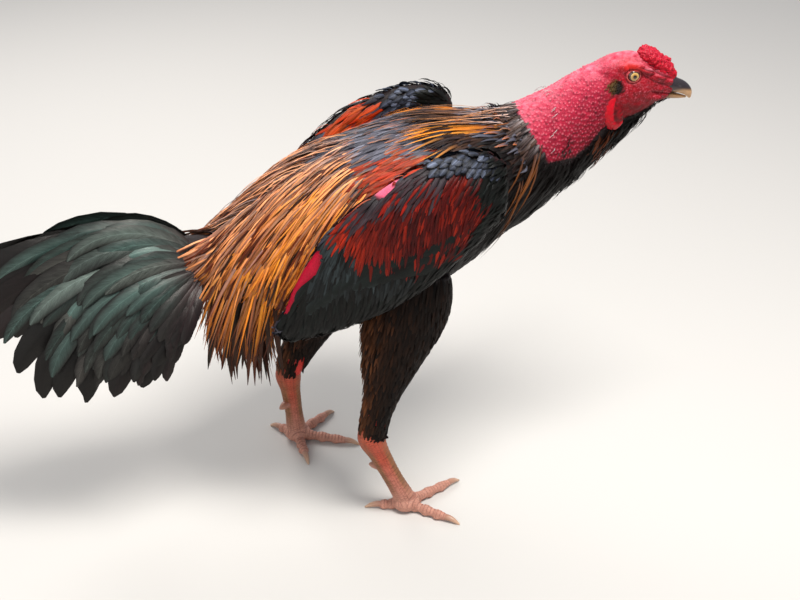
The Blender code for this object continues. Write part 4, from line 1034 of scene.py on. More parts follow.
leg_material = skin_material("leg_scales", 1000, 0.5, 0.5, 0.35, wet=0.1, glow=0.05)
claw_material = horn_material("claw_horn", 0.38, 0.25)
for side in (RIGHT, LEFT):
    foot = FEET[side]
    rows = through(limb_rows(SHANKS[side]), 120)
    bodies = [lofted(path_sections(limb_rows(SHANKS[side]), 60, 40, LIMB_SQUARE, ACROSS))]
    bodies.append(ball_body(foot + UP * 0.0078, (0.0120, 0.0115, 0.0088), 24, 16))
    for bearing, length in TOES[side].values():
        bodies.append(digit_body(foot, bearing, 0.0, length - CLAW_LENGTH, TOE, TOE_RADIUS, 40, 24))
        for share, height in ((0.25, 0.0030), (0.52, 0.0026), (0.80, 0.0026)):
            pad = foot + bearing_way(bearing) * (length - CLAW_LENGTH) * share + UP * height
            bodies.append(ball_body(pad, (0.0050, 0.0045, 0.0026), 16, 10))
    leg = mesh_of("leg_" + SIDE_NAMES[side], bodies)
    remesh(leg, LEG_VOXEL, 6)
    points = points_of(leg)
    normals = normals_of(leg)
    # Place along and round the shank.
    axis = rows[:, :3]
    near = np.argmin(((points[:, None, :] - axis[None, :, :]) ** 2).sum(2), 1)
    steps = np.linalg.norm(np.diff(axis, axis=0), axis=1)
    along = np.concatenate([[0], np.cumsum(steps)])[near]
    out = points - axis[near]
    round_shank = np.arctan2(out[:, 1], out[:, 0])
    front_share = round_shank / math.radians(75)
    rise, groove = plate_rows(along, np.clip(front_share, -1, 1), PLATE_SPACING, 2)
    front = np.abs(front_share) < 1
    small_rise, small_groove = plate_rows(along, round_shank / math.pi, SIDE_PLATE_SPACING, 16)
    rise = np.where(front, rise, 0.6 * small_rise)
    groove = np.where(front, groove, 0.8 * small_groove)
    # Place along each toe; the nearest toe counts.
    best = np.full(len(points), 1e9)
    for bearing, length in TOES[side].values():
        way = np.array(bearing_way(bearing))
        away = points - np.array(foot)
        reach = away @ way
        beside = np.linalg.norm(away[:, :2] - reach[:, None] * way[:2], axis=1)
        beside = np.where(reach < 0.006, 1e8, beside)
        toe_rise, toe_groove = plate_rows(reach, np.zeros(len(points)), TOE_PLATE_SPACING, 1)
        top = clamp(normals[:, 2] * 2.2 + 0.2)
        chosen = (beside < best) & (points[:, 2] < 0.0135)
        best = np.where(chosen, beside, best)
        rise = np.where(chosen, toe_rise * top, rise)
        groove = np.where(chosen, toe_groove * top, groove)
    wart = noise_at(points, 900)
    under = clamp(-normals[:, 2] * 2) * (points[:, 2] < 0.012)
    lift = rise - 0.00028 * groove + 0.00025 * wart * under
    points = points + normals * lift[:, None]
    points[:, 2] = np.maximum(points[:, 2], 0.0)
    set_points(leg, points)
    height = points[:, 2]
    # A red stripe runs down each side of the shank between olive plates.
    sides_share = 1 - clamp((np.abs(normals[:, 1]) - 0.86) / 0.12)
    sides_share *= clamp((height - 0.014) / 0.02) * (1 - 0.7 * clamp((height - 0.062) / 0.02))
    colours = mix(TOE_PINK, SHANK_RED, (height - 0.014) / 0.045)
    colours = mix(colours, SHANK_OLIVE, 0.80 * sides_share)
    colours = colours * (1 + 0.12 * wart)[:, None]
    paint(leg, mix(colours, GROOVE_DARK, 0.55 * groove))
    finish(leg, leg_material, "leg_scales", "shank_" + SIDE_NAMES[side], "foot_" + SIDE_NAMES[side])
    # Claws: pale horn, curved down to the floor.
    for toe, (bearing, length) in TOES[side].items():
        body = digit_body(foot, bearing, length - CLAW_LENGTH, CLAW_LENGTH, CLAW, CLAW_RADIUS, 40, 28)
        claw = mesh_of(f"nail_{toe}_{SIDE_NAMES[side]}", [body])
        points = points_of(claw)
        points[:, 2] = np.maximum(points[:, 2], 0.0)
        set_points(claw, points)
        share = ((points - np.array(foot)) @ np.array(bearing_way(bearing)) - length) / CLAW_LENGTH + 1
        paint(claw, mix(CLAW_ROOT, CLAW_TIP, share))
        claw.data.shade_smooth()
        finish(claw, claw_material, "claw_horn", f"claw_{toe}_{SIDE_NAMES[side]}")
    # The spur: a short blunt cone on the inner back of the shank.
    root = (Vector(SHANKS[side][2][:3]) + Vector(SHANKS[side][3][:3])) / 2
    way = Vector((-0.80, -side * 0.55, -0.10)).normalized()
    path = []
    for share, radius in SPUR:
        path.append((*(root + way * (0.003 + SPUR_LENGTH * share)), radius, radius, radius))
    spur = mesh_of("spur_horn_" + SIDE_NAMES[side], [lofted(path_sections(path, 40, 28, 2.0, UP))])
    share = (points_of(spur) - np.array(root)) @ np.array(way) / SPUR_LENGTH
    paint(spur, mix(SHANK_RED * 0.8, CLAW_ROOT, share))
    spur.data.shade_smooth()
    finish(spur, claw_material, "claw_horn", "spur_" + SIDE_NAMES[side])

# The body's contour feathers: short black vanes in staggered rows over breast, belly and flanks.
# Each is rooted in the skin, lies along it towards the tail and covers the roots behind it.
# Outline of a feather, as those further down: share of its length, share of its half width.
CONTOUR = ((0.0, 0.45), (0.2, 0.85), (0.5, 1.0), (0.75, 0.92), (0.92, 0.6), (1.0, 0.12))
ROOT_DEPTH = 0.0012
HUG_DEPTH = 0.012
PATCH = 0.003
BODY_BLACK = seen(18, 15, 14)
BODY_EDGE = seen(36, 31, 30)
BODY_FLOW = Vector((-1.0, 0.0, -0.22))
BODY_SPACING = 0.0048
BODY_ROWS = 0.0050


def scatter(draw, x, y, z):
    """A small random way, spread by x, y and z."""
    return Vector((draw.gauss(0, x), draw.gauss(0, y), draw.gauss(0, z)))


def roots_over(sections, row_spacing, spacing, draw, jitter=0.3):
    """Places in staggered rows over a body's sections: the place, its share along, its share round."""
    count = len(sections[0])
    centres = [sum(ring, Vector()) / count for ring in sections]
    run = [0.0]
    for a, b in zip(centres, centres[1:]):
        run.append(run[-1] + (b - a).length)
    rows = int(run[-1] / row_spacing)
    found = []
    for i in range(rows + 1):
        at = float(np.interp((i + draw.uniform(-0.1, 0.1)) / rows * run[-1], run, range(len(run))))
        low = min(int(at), len(sections) - 2)
        ring = [a.lerp(b, at - low) for a, b in zip(sections[low], sections[low + 1])]
        around = [0.0]
        for k in range(count):
            around.append(around[-1] + (ring[(k + 1) % count] - ring[k]).length)
        number = max(int(around[-1] / spacing), 3)
        for k in range(number):
            turn = ((k + 0.5 * (i % 2) + draw.uniform(-jitter, jitter)) / number) % 1
            place = float(np.interp(turn * around[-1], around, range(count + 1)))
            p = min(int(place), count - 1)
            found.append((ring[p].lerp(ring[(p + 1) % count], place - p), i / rows, place / count))
    return found


def laid(tree, root, way, length, outline, lift, slope, droop=0.0, hug=0.4, curl=0.0):
    """A spine from its root along a skin, further off it towards its tip, and the skin's upward there."""
    shares = [share for share, _ in outline]
    place, normal, _, _ = tree.find_nearest(root)
    way = (way - normal * way.dot(normal)).normalized()
    spine = [place - normal * ROOT_DEPTH]
    ups = [normal]
    here = place
    for before, share in zip(shares, shares[1:]):
        last = here
        step = length * (share - before)
        here = here + way * step
        near, up, _, _ = tree.find_nearest(here)
        rise = lift + slope * length * share
        height = (here - near).dot(up)
        if height < rise:
            here = near + up * rise
        elif height < rise + HUG_DEPTH:
            here = near + up * (rise + (1 - hug) * (height - rise))
        else:
            up = ups[-1]
        spine.append(here)
        ups.append(up)
        way = ((here - last).normalized() + Vector((curl, 0, -droop)) * step / 0.02).normalized()
    return spine, ups


def feather(spine, ups, half, length, shaft, edge, spot, roll=0.0):
    """One feather for feather_mesh. Shaft and edge are its colours at root, middle and tip."""
    return spine, ups, half, length, shaft, edge, spot, roll


def feather_mesh(
    name, feathers, outline, seed, columns=(-1, 0, 1), camber=0.08, thick=0.0004, ragged=0.10, splits=0.0,
):
    """One mesh of many feathers: closed blades, with their colours, vane map and bake map."""
    shares = np.array([share for share, _ in outline])
    wides = np.array([wide for _, wide in outline])
    number = len(feathers)
    stations = len(shares)
    chance = np.random.default_rng(seed)
    spines, ups, *others = zip(*feathers)
    spine = np.array([[tuple(place) for place in row] for row in spines])
    up = np.array([[tuple(way) for way in row] for row in ups])
    half, length, shaft, edge, spots, roll = (np.array(values) for values in others)
    ahead = np.gradient(spine, axis=1)
    ahead /= np.linalg.norm(ahead, axis=2, keepdims=True)
    side = np.cross(up, ahead)
    side /= np.linalg.norm(side, axis=2, keepdims=True)
    face = np.cross(ahead, side)
    turn = roll[:, None, None]
    side, face = side * np.cos(turn) + face * np.sin(turn), face * np.cos(turn) - side * np.sin(turn)
    reach = np.array(list(columns) + list(columns[-2:0:-1]), float)
    inner = len(columns) - 2
    level = np.array([0] + [1] * inner + [0] + [-1] * inner, float)
    ring = len(reach)
    wide = half[:, None, None] * wides[None, :, None] * np.ones((1, 1, ring))
    left = 1 + ragged * chance.standard_normal((number, stations, 1))
    right = 1 + ragged * chance.standard_normal((number, stations, 1))
    left = np.where(chance.random((number, stations, 1)) < splits, 0.5, left)
    right = np.where(chance.random((number, stations, 1)) < splits, 0.5, right)
    wide = wide * np.where(reach[None, None, :] < 0, left, right)
    across = wide * reach[None, None, :]
    rise = thick / 2 * level[None, None, :] * np.minimum(1, 1.3 * wides)[None, :, None]
    rise = rise - camber * wide * reach[None, None, :] ** 2
    points = spine[:, :, None, :] + side[:, :, None, :] * across[..., None]
    points = points + face[:, :, None, :] * rise[..., None]
    # Faces of one feather: quads along it and a fan over each end.
    quads = bands(stations, ring)
    ends = []
    top = (stations - 1) * ring
    for k in range(1, ring - 1):
        ends.append((0, k + 1, k))
        ends.append((top, top + k, top + k + 1))
    one_loops = np.array([i for face_ in quads for i in face_] + [i for face_ in ends for i in face_])
    one_sizes = np.array([4] * len(quads) + [3] * len(ends))
    per = stations * ring
    loops = (np.arange(number)[:, None] * per + one_loops[None, :]).ravel()
    sizes = np.tile(one_sizes, number)
    mesh = bpy.data.meshes.new(name)
    mesh.vertices.add(number * per)
    mesh.vertices.foreach_set("co", points.astype(np.float32).ravel())
    mesh.loops.add(len(loops))
    mesh.loops.foreach_set("vertex_index", loops.astype(np.int32))
    mesh.polygons.add(len(sizes))
    mesh.polygons.foreach_set("loop_start", (np.cumsum(sizes) - sizes).astype(np.int32))
    mesh.update(calc_edges=True)
    # Colours: from the shaft to the edge, and from the root to the tip.
    place = np.interp(shares, (0, 0.5, 1), (0, 1, 2))
    low = np.minimum(place.astype(int), 1)
    part = (place - low)[None, :, None]
    down_shaft = shaft[:, low] * (1 - part) + shaft[:, low + 1] * part
    down_edge = edge[:, low] * (1 - part) + edge[:, low + 1] * part
    out = np.abs(reach)[None, None, :, None] ** 1.5
    colours = down_shaft[:, :, None, :] * (1 - out) + down_edge[:, :, None, :] * out
    values = np.ones((number, stations, ring, 4), np.float32)
    values[..., :3] = colours
    values[..., 3] = chance.random((number, 1, 1))
    layer = mesh.color_attributes.new("tint", "FLOAT_COLOR", "POINT")
    layer.data.foreach_set("color", values.ravel())
    down = np.broadcast_to(length[:, None, None] * shares[None, :, None], across.shape)
    vane_map = np.stack([across, down], -1)
    bake_map = np.empty_like(vane_map)
    bake_map[..., 0] = spots[:, None, None, 0] + PATCH / 2 * reach[None, None, :]
    bake_map[..., 1] = spots[:, None, None, 1] + PATCH * (shares[None, :, None] - 0.5)
    for map_name, values in (("OFBake", bake_map), ("Vane", vane_map)):
        uv = mesh.uv_layers.new(name=map_name)
        uv.data.foreach_set("uv", values.reshape(-1, 2)[loops].astype(np.float32).ravel())
    obj = bpy.data.objects.new(name, mesh)
    bpy.context.scene.collection.objects.link(obj)
    mesh.shade_smooth()
    mesh.set_sharp_from_angle(angle=math.radians(50))
    return obj


barb_group, barb_in, barb_out = node_group(
    "barbs",
    {
        "Spacing": ("number", 0.0009),
        "Contrast": ("number", 0.25),
        "Variety": ("number", 0.3),
        "Seed": ("number", 0.5),
        "Slant": ("number", 1.1),
    },
    {"Shade": "number", "Height": "number"},
)
vane_uv = barb_group.nodes.new("ShaderNodeUVMap")
vane_uv.uv_map = "Vane"
parts = barb_group.nodes.new("ShaderNodeSeparateXYZ")
barb_group.links.new(vane_uv.outputs["UV"], parts.inputs["Vector"])
from_shaft = math_node(barb_group, "ABSOLUTE", parts.outputs["X"])
sweep = math_node(barb_group, "MULTIPLY", from_shaft, barb_in.outputs["Slant"])
slant = math_node(barb_group, "SUBTRACT", parts.outputs["Y"], sweep)
wobble = barb_group.nodes.new("ShaderNodeTexNoise")
wobble.inputs["Scale"].default_value = 260
wobble.inputs["Detail"].default_value = 3
seeded = barb_group.nodes.new("ShaderNodeCombineXYZ")
barb_group.links.new(parts.outputs["X"], seeded.inputs["X"])
barb_group.links.new(slant, seeded.inputs["Y"])
barb_group.links.new(barb_in.outputs["Seed"], seeded.inputs["Z"])
barb_group.links.new(seeded.outputs["Vector"], wobble.inputs["Vector"])
turns = math_node(barb_group, "DIVIDE", slant, barb_in.outputs["Spacing"])
turns = math_node(barb_group, "MULTIPLY_ADD", wobble.outputs["Fac"], 2.5, turns)
wave = math_node(barb_group, "SINE", math_node(barb_group, "MULTIPLY", turns, 2 * math.pi))
shaft_line = math_node(barb_group, "SUBTRACT", 1.0, math_node(barb_group, "DIVIDE", from_shaft, 0.0004))
shaft_line = math_node(barb_group, "MAXIMUM", shaft_line, 0.0)
streak = math_node(barb_group, "MULTIPLY_ADD", wobble.outputs["Fac"], 1.6, -0.8)
streak = math_node(barb_group, "MULTIPLY_ADD", wave, 0.5, streak)
streak = math_node(barb_group, "MULTIPLY", streak, barb_in.outputs["Contrast"])
streak = math_node(barb_group, "MULTIPLY_ADD", shaft_line, 0.6, streak)
own = math_node(barb_group, "SUBTRACT", barb_in.outputs["Seed"], 0.5)
own = math_node(barb_group, "MULTIPLY", own, barb_in.outputs["Variety"])
total = math_node(barb_group, "ADD", math_node(barb_group, "ADD", streak, own), 1.0)
barb_group.links.new(total, barb_out.inputs["Shade"])
ridge = math_node(barb_group, "MULTIPLY_ADD", shaft_line, 2.0, wave)
barb_group.links.new(ridge, barb_out.inputs["Height"])


def feather_material(
    name, roughness, contrast, variety, gloss, gloss_tint=(1, 1, 1), spacing=0.0009, slant=1.1,
):
    """Feathers: their points' colours streaked along the barbs, under a gloss that may be coloured."""
    barbs = {"Spacing": spacing, "Contrast": contrast, "Variety": variety, "Slant": slant}
    looks = {"Roughness": roughness, "Specular IOR Level": gloss, "Specular Tint": (*gloss_tint, 1)}
    return painted_material(name, barb_group, barbs, 0.25, 0.0001, looks)


def three(a, b=None, c=None):
    """Colours of a feather at root, middle and tip."""
    return np.array([a, a if b is None else b, a if c is None else c])


def hidden(place, way, trees, reach=0.05):
    """True where another form lies over a place within reach."""
    return any(tree.ray_cast(place + way * 0.001, way, reach)[0] is not None for tree in trees)


black_feather = feather_material("body_feathers", 0.50, 0.30, 0.6, 0.12)
draw = random.Random(3)
body_feathers = {LEFT: [], RIGHT: []}
torso_rings = upright_sections(TORSO, 60, 72, BODY_SQUARE, COAT_DEPTH)
for root, share, turn in roots_over(torso_rings, BODY_ROWS, BODY_SPACING, draw):
    place, normal, _, _ = coat_tree.find_nearest(root)
    outward = (root - Vector((root.x, 0, root.z * 0.5 + 0.13))).normalized()
    if hidden(root, outward, wing_trees.values(), 0.02) and root.z > 0.235:
        continue
    if root.x < 0.0 and root.z > 0.262 + 0.25 * root.x or root.z > 0.315:
        continue
    if any((root - mirrored(end, 1 if root.y > 0 else -1)).length < 0.016 for end in FLANK_STRIP):
        continue
    front = min(max((root.x - 0.06) / 0.06, 0), 1)
    way = BODY_FLOW + Vector((0, 0, -0.9 * front * min(max(normal.x, 0), 1)))
    way += scatter(draw, 0.05, 0.05, 0.05)
    length = draw.uniform(0.015, 0.020)
    spine, ups = laid(coat_tree, root, way, length, CONTOUR, 0.0004, 0.07)
    black = BODY_BLACK * draw.uniform(0.7, 1.4)
    body_feathers[LEFT if root.y > 0 else RIGHT].append(feather(
        spine, ups, draw.uniform(0.0028, 0.0038), length, three(black), three(black, black, BODY_EDGE),
        (share, turn), draw.gauss(0, 0.12),
    ))
for side in (LEFT, RIGHT):
    body_coat = feather_mesh("body_coat_" + SIDE_NAMES[side], body_feathers[side], CONTOUR, 1)
    finish(body_coat, black_feather, "body_feathers", "torso")

# The mantle: pointed slate feathers with tan or orange edges over the back between the wings.
# The wings' round coverts take over from it this far out, by the distance forward.
SHOULDER_LINE = ((0.060, 0.044), (0.085, 0.030), (0.118, 0.026))
MANTLE = ((0.0, 0.5), (0.2, 0.85), (0.45, 1.0), (0.7, 0.8), (0.88, 0.45), (1.0, 0.06))
SLATE = seen(66, 66, 76)
SLATE_PALE = seen(112, 112, 124)
SLATE_DARK = seen(38, 36, 42)
TAN = seen(170, 112, 66)
ORANGE = seen(204, 110, 32)
ORANGE_RED = seen(186, 52, 22)
ORANGE_DULL = seen(184, 80, 40)
draw = random.Random(5)
feathers = []
for root, share, turn in roots_over(torso_rings, 0.0040, 0.0031, draw):
    near_spot = (root - SHOULDER_SPOT).length < 0.020
    if root.z < 0.296 or root.x < -0.012 or near_spot or hidden(root, UP, wing_trees.values()):
        continue
    if 0.058 < root.x < 0.096 and abs(root.y) > read_off(SHOULDER_LINE, root.x):
        continue
    way = Vector((-1.0, 0.35 * root.y / 0.06 + draw.gauss(0, 0.08), -0.15))
    length = draw.uniform(0.024, 0.034)
    spine, ups = laid(torso_tree, root, way, length, MANTLE, draw.uniform(0.0006, 0.0014), 0.06)
    slate = mix(SLATE_DARK, mix(SLATE, SLATE_PALE, draw.random() ** 2), draw.random() ** 0.5)
    lively = draw.random()
    if root.x > 0.082 and abs(root.y) > 0.024:
        slate = BODY_BLACK * draw.uniform(0.8, 1.8)
        lively = 1
    rim = ORANGE if lively < 0.16 else TAN if lively < 0.38 else slate
    # Beside the shoulders they are orange red all over.
    beside = float(np.interp(root.x, (0.008, 0.02, 0.062, 0.075), (0, 1, 1, 0)))
    beside *= min(max((abs(root.y) - 0.026) / 0.010, 0), 1)
    if draw.random() < 0.9 * beside:
        rim = mix(ORANGE_RED, ORANGE_DULL, draw.random()) * draw.uniform(0.4, 0.9)
        slate = rim * draw.uniform(0.5, 1.0)
    feathers.append(feather(
        spine, ups, draw.uniform(0.0014, 0.0021), length, three(slate * 0.6, slate, slate),
        three(slate * 0.5, slate, rim), (share, turn), draw.gauss(0, 0.15),
    ))
mantle_coat = feather_mesh("mantle_coat", feathers, MANTLE, 2, ragged=0.14)
mantle_material = feather_material("mantle_feathers", 0.46, 0.45, 0.5, 0.22, slant=2.5)
finish(mantle_coat, mantle_material, "body_feathers", "torso")

# The saddle: long, narrow, pointed feathers that part along the back and hang down both flanks,
# tan above, gold in the middle and black at their tips.
STRAND = (
    (0.0, 0.55), (0.12, 0.85), (0.30, 1.0), (0.48, 1.0), (0.64, 0.85), (0.78, 0.62), (0.90, 0.36), (1.0, 0.05),
)
SADDLE_TAN = seen(226, 158, 118)
SADDLE_GOLD = seen(224, 138, 40)
SADDLE_ORANGE = seen(188, 84, 16)
SADDLE_RUST = seen(118, 45, 12)
SADDLE_TIP = seen(20, 14, 11)
SADDLE_SLATE = seen(84, 90, 102)
draw = random.Random(8)
saddle_feathers = {LEFT: [], RIGHT: []}
saddle_roots = roots_over(torso_rings, 0.0032, 0.0030, draw)
saddle_roots += [one for one in roots_over(torso_rings, 0.0046, 0.0046, draw) if -0.112 < one[0].x < 0.0]
for root, share, turn in saddle_roots:
    if root.x > 0.012 + draw.gauss(0, 0.006) or root.x < -0.112:
        continue
    side = LEFT if root.y > 0 else RIGHT
    # How far down the flank the root is: 0 on the ridge of the back and 90 at its widest.
    down_flank = math.degrees(math.atan2(abs(root.y), root.z - (0.262 + 0.40 * min(root.x, 0) - 0.01)))
    if down_flank > np.interp(root.x, (-0.11, -0.06, 0.0, 0.036), (112, 96, 66, 44)) + draw.gauss(0, 3):
        continue
    s = math.sin(math.radians(min(down_flank, 90)))
    rear = float(np.interp(root.x, (-0.108, -0.050), (1, 0)))
    long = rear * s**2
    way = Vector((-0.95 + 0.50 * s + 0.10 * long, side * 0.24, -0.35 - 0.60 * s - 0.35 * long))
    way += scatter(draw, 0.08, 0.06, 0.08)
    length = float(np.interp(root.x, (-0.11, -0.08, -0.03, 0.036), (0.050, 0.070, 0.084, 0.070)))
    length = (length + 0.062 * long) * draw.uniform(0.60, 1.08)
    lift = draw.uniform(0.0006, 0.0034)
    spine, ups = laid(
        torso_tree, root, way, length, STRAND, lift, 0.045, droop=draw.uniform(0.02, 0.12) + 0.10 * long,
        hug=0.4 - 0.3 * long, curl=draw.uniform(-0.02, 0.04) * long,
    )
    # None hangs down in front of the rear edge of the wing.
    if spine[-1].x > -0.063 and spine[-1].z < 0.200:
        continue
    # None stands out from the rump.
    if spine[-1].x < -0.062 and abs(spine[-1].y) > 0.052 or root.x < -0.09 and spine[-1].z > root.z - 0.010:
        continue
    luck = draw.random()
    upper = mix(SADDLE_TAN, SADDLE_GOLD, 1.4 * s - 0.4 + draw.gauss(0, 0.25)) * draw.uniform(0.85, 1.25)
    middle = mix(SADDLE_GOLD, SADDLE_ORANGE, draw.random() * (0.4 + 0.6 * s))
    middle = mix(middle, upper, 0.8 * (1 - s))
    low = mix(SADDLE_ORANGE, SADDLE_RUST, 0.35 + 0.65 * draw.random())
    low = mix(low, SADDLE_TIP, draw.random() * 0.25 + (0.5 + 0.5 * draw.random()) * long**0.4)
    low = mix(low, SADDLE_TIP, 0.9 * (0.195 - spine[-1].z) / 0.03)
    if luck < 0.34 * (1.6 - s):
        upper = mix(SADDLE_SLATE, SLATE_DARK, draw.random())
        middle = mix(upper, middle, 0.4)
    elif luck > 0.84:
        upper = middle = low = mix(SADDLE_TIP, SADDLE_RUST, 0.6 * draw.random())
    centre = mix(middle, SADDLE_TIP, 0.5 * draw.random())
    low_edge = mix(low, SADDLE_RUST, 0.6 * (luck < 0.8))
    saddle_feathers[side].append(feather(
        spine, ups, draw.uniform(0.0005, 0.0010) * (1 + 0.5 * long), length, three(upper * 0.6, centre, low),
        three(upper * 0.8, middle, low_edge), (share, turn), draw.gauss(0, 0.22),
    ))
# Black pointed feathers hang beside the tail, under the rearmost strands.
for side in (LEFT, RIGHT):
    for k in range(80):
        root = Vector((
            draw.uniform(-0.122, -0.058), side * draw.uniform(0.020, 0.050), draw.uniform(0.205, 0.240),
        ))
        way = Vector((draw.uniform(-0.65, -0.10), side * 0.25, -1.0))
        length = draw.uniform(0.075, 0.112)
        spine, ups = laid(torso_tree, root, way, length, STRAND, 0.001, 0.10, droop=0.05, hug=0.05, curl=0.03)
        if root.z - spine[-1].z < 0.62 * length or spine[-1].x > root.x + 0.008 or abs(spine[-1].y) > 0.056:
            continue
        ups = [Vector((-0.15, side, 0.25)).normalized()] * len(spine)
        black = mix(SADDLE_TIP, SADDLE_RUST, 0.25 * draw.random())
        saddle_feathers[side].append(feather(
            spine, ups, draw.uniform(0.0022, 0.0034), length, three(black), three(black), (0.1, draw.random()),
            draw.gauss(0, 0.2),
        ))
saddle_material = feather_material("saddle_feathers", 0.42, 0.50, 0.5, 0.28, (1.0, 0.9, 0.75), 0.0012, 3.0)
for side in (LEFT, RIGHT):
    saddle_coat = feather_mesh("saddle_coat_" + SIDE_NAMES[side], saddle_feathers[side], STRAND, 4)
    finish(saddle_coat, saddle_material, "saddle_feathers", "saddle")

# The hackles: a cape of narrow grey-brown feathers with pale shafts round the base of the neck,
# gold where they end over the back, and black under the throat.
HACKLE_DARK = seen(28, 21, 21)
HACKLE_GREY = seen(62, 49, 49)
HACKLE_BROWN = seen(88, 60, 40)
HACKLE_GOLD = seen(214, 136, 48)
HACKLE_BLACK = seen(17, 14, 13)
THROAT_BROWN = seen(112, 58, 34)
FLUFF_PALE = seen(186, 174, 174)
CAPE_END = 0.0285
draw = random.Random(13)
feathers = []
neck_rings = path_sections(NECK[:5], 110, 72, LIMB_SQUARE, ACROSS, 0.001)
for root, share, turn in roots_over(neck_rings, 0.0032, 0.0025, draw):
    along = (root - CAPE_CUT).dot(NECK_LINE)
    high = math.sin(2 * math.pi * turn)
    lifted = math.degrees(math.asin(max(-1, min(1, high))))
    if along < -0.014:
        continue
    on_cape = along < CAPE_END + 0.0025 * high + draw.gauss(0, 0.0008)
    if not on_cape and lifted > read_off(THROAT_EDGE, along) + draw.gauss(0, 2):
        continue
    way = -NECK_LINE - UP * 0.30 + Vector((0, 0.10 * math.cos(2 * math.pi * turn), 0))
    way += scatter(draw, 0.05, 0.05, 0.05)
    near_bare = min(max((along - CAPE_END + 0.010) / 0.010, 0), 1)
    length = draw.uniform(0.036, 0.056) * (1 - 0.55 * near_bare) * (1 + 0.3 * max(high, 0))
    lift = 0.0006 + draw.uniform(0, 0.0014)
    slope = 0.04
    black = min(max((34 - lifted) / 26, 0), 1)
    half = draw.uniform(0.0009, 0.0015)
    if not on_cape:
        length = draw.uniform(0.013, 0.021)
        slope = draw.uniform(0.08, 0.30)
        way.z -= 0.25
        black = 1.0
    spine, ups = laid(coat_tree, root, way, length, STRAND, lift, slope, 0.04)
    dark = mix(HACKLE_DARK, HACKLE_BROWN, draw.random() ** 2 * 0.6)
    grey = mix(HACKLE_GREY, dark, 0.25 + 0.75 * draw.random())
    tip = mix(dark, HACKLE_GOLD, 0.8 * (draw.random() < 0.12) * (along < 0.004))
    pale = 0.6 * near_bare * draw.random()
    dark, grey, tip = (mix(tone, HACKLE_BLACK * draw.uniform(0.7, 1.5), black) for tone in (dark, grey, tip))
    root_tone = mix(grey, FLUFF_PALE, pale * (1 - black))
    if 0.066 < along < 0.092 and -52 < lifted < -18 and draw.random() < 0.55:
        dark = tip = THROAT_BROWN * draw.uniform(0.5, 1.1)
    feathers.append(feather(
        spine, ups, half, length, three(root_tone, grey, tip), three(mix(dark, root_tone, 0.6), dark, tip * 0.8),
        (share, turn), draw.gauss(0, 0.18),
    ))
# Chin bristles under the jaw, and black stubs among the papillae low on the neck.
for side in (LEFT, RIGHT):
    for k in range(300):
        place = Vector(jaw_points[draw.randrange(len(jaw_points))])
        share = min(max((place.x - 0.215) / 0.047, 0), 1)
        length = draw.uniform(0.007, 0.013) * (1 - 0.5 * share)
        way = Vector((-0.8, side * 0.15 + draw.gauss(0, 0.1), -0.55 + draw.gauss(0, 0.15)))
        spine, ups = laid(head_tree, place, way, length, STRAND, 0.0002, draw.uniform(0.05, 0.35))
        feathers.append(feather(
            spine, ups, draw.uniform(0.0004, 0.0007), length, three(HACKLE_BLACK), three(HACKLE_BLACK),
            (0.9, share), 0.0,
        ))
    for k in range(16):
        place = CAPE_CUT + NECK_LINE * draw.gauss(0.043, 0.004)
        place += Vector((0, side * 0.04, draw.gauss(-0.006, 0.004)))
        length = draw.uniform(0.003, 0.005)
        spine, ups = laid(head_tree, place, -NECK_LINE - UP * 0.4, length, STRAND, 0.0004, 0.25)
        stub = HACKLE_BLACK if k % 5 else HACKLE_GREY
        feathers.append(feather(spine, ups, 0.0005, length, three(stub), three(stub), (0.7, k / 16), 0.0))
    # Short olive-brown bristles cover each ear.
    for k in range(90):
        ahead = draw.gauss(0.001, 0.0026)
        place = head_frame @ mirrored(EAR + Vector((ahead, 0.004, draw.gauss(0.0005, 0.0021))), side)
        way = Vector((-0.8, 0.1 * side, -0.5)) + Vector((draw.gauss(0, 0.25), 0, draw.gauss(0, 0.25)))
        length = draw.uniform(0.0030, 0.0050)
        spine, ups = laid(head_tree, place, way, length, STRAND, 0.0003, draw.uniform(0.05, 0.3))
        olive = mix(EAR_OLIVE, EAR_DARK, 0.3 + ahead / 0.004 + 0.5 * draw.random())
        feathers.append(feather(spine, ups, 0.0004, length, three(olive), three(olive), (0.95, k / 70), 0.0))
    # Pale new quills stand along the edge of the cape.
    for k in range(9):
        angle = math.radians(draw.uniform(-5, 85))
        place = CAPE_CUT + NECK_LINE * (CAPE_END + draw.uniform(-0.001, 0.003))
        place += Vector((0, side * math.cos(angle) * 0.05, math.sin(angle) * 0.05))
        length = draw.uniform(0.005, 0.011)
        spine, ups = laid(head_tree, place, -NECK_LINE - UP * 0.2, length, STRAND, 0.0012, 0.12)
        feathers.append(feather(
            spine, ups, 0.0003, length, three(FLUFF_PALE), three(HACKLE_GREY), (0.6, k / 9), 0.0,
        ))
# Long single hackles that hang in front of the shoulder, brown with orange edges.
for side in (LEFT, RIGHT):
    for k in range(9):
        start = CAPE_CUT.lerp(BARE_CUT, draw.uniform(0.25, 0.65))
        angle = math.radians(draw.uniform(-8, 30))
        root = start + Vector((-0.010, side * math.cos(angle) * 0.06, math.sin(angle) * 0.05))
        length = draw.uniform(0.050, 0.078)
        way = Vector((-0.42, 0.05 * side, -1.0))
        spine, ups = laid(coat_tree, root, way, length, STRAND, 0.0030, 0.04, 0.02)
        feathers.append(feather(
            spine, ups, draw.uniform(0.0005, 0.0009), length,
            three(HACKLE_GREY, HACKLE_BROWN * 0.8, HACKLE_DARK), three(HACKLE_DARK, ORANGE * 0.35, HACKLE_DARK),
            (0.5, angle / 6), draw.gauss(0, 0.2),
        ))
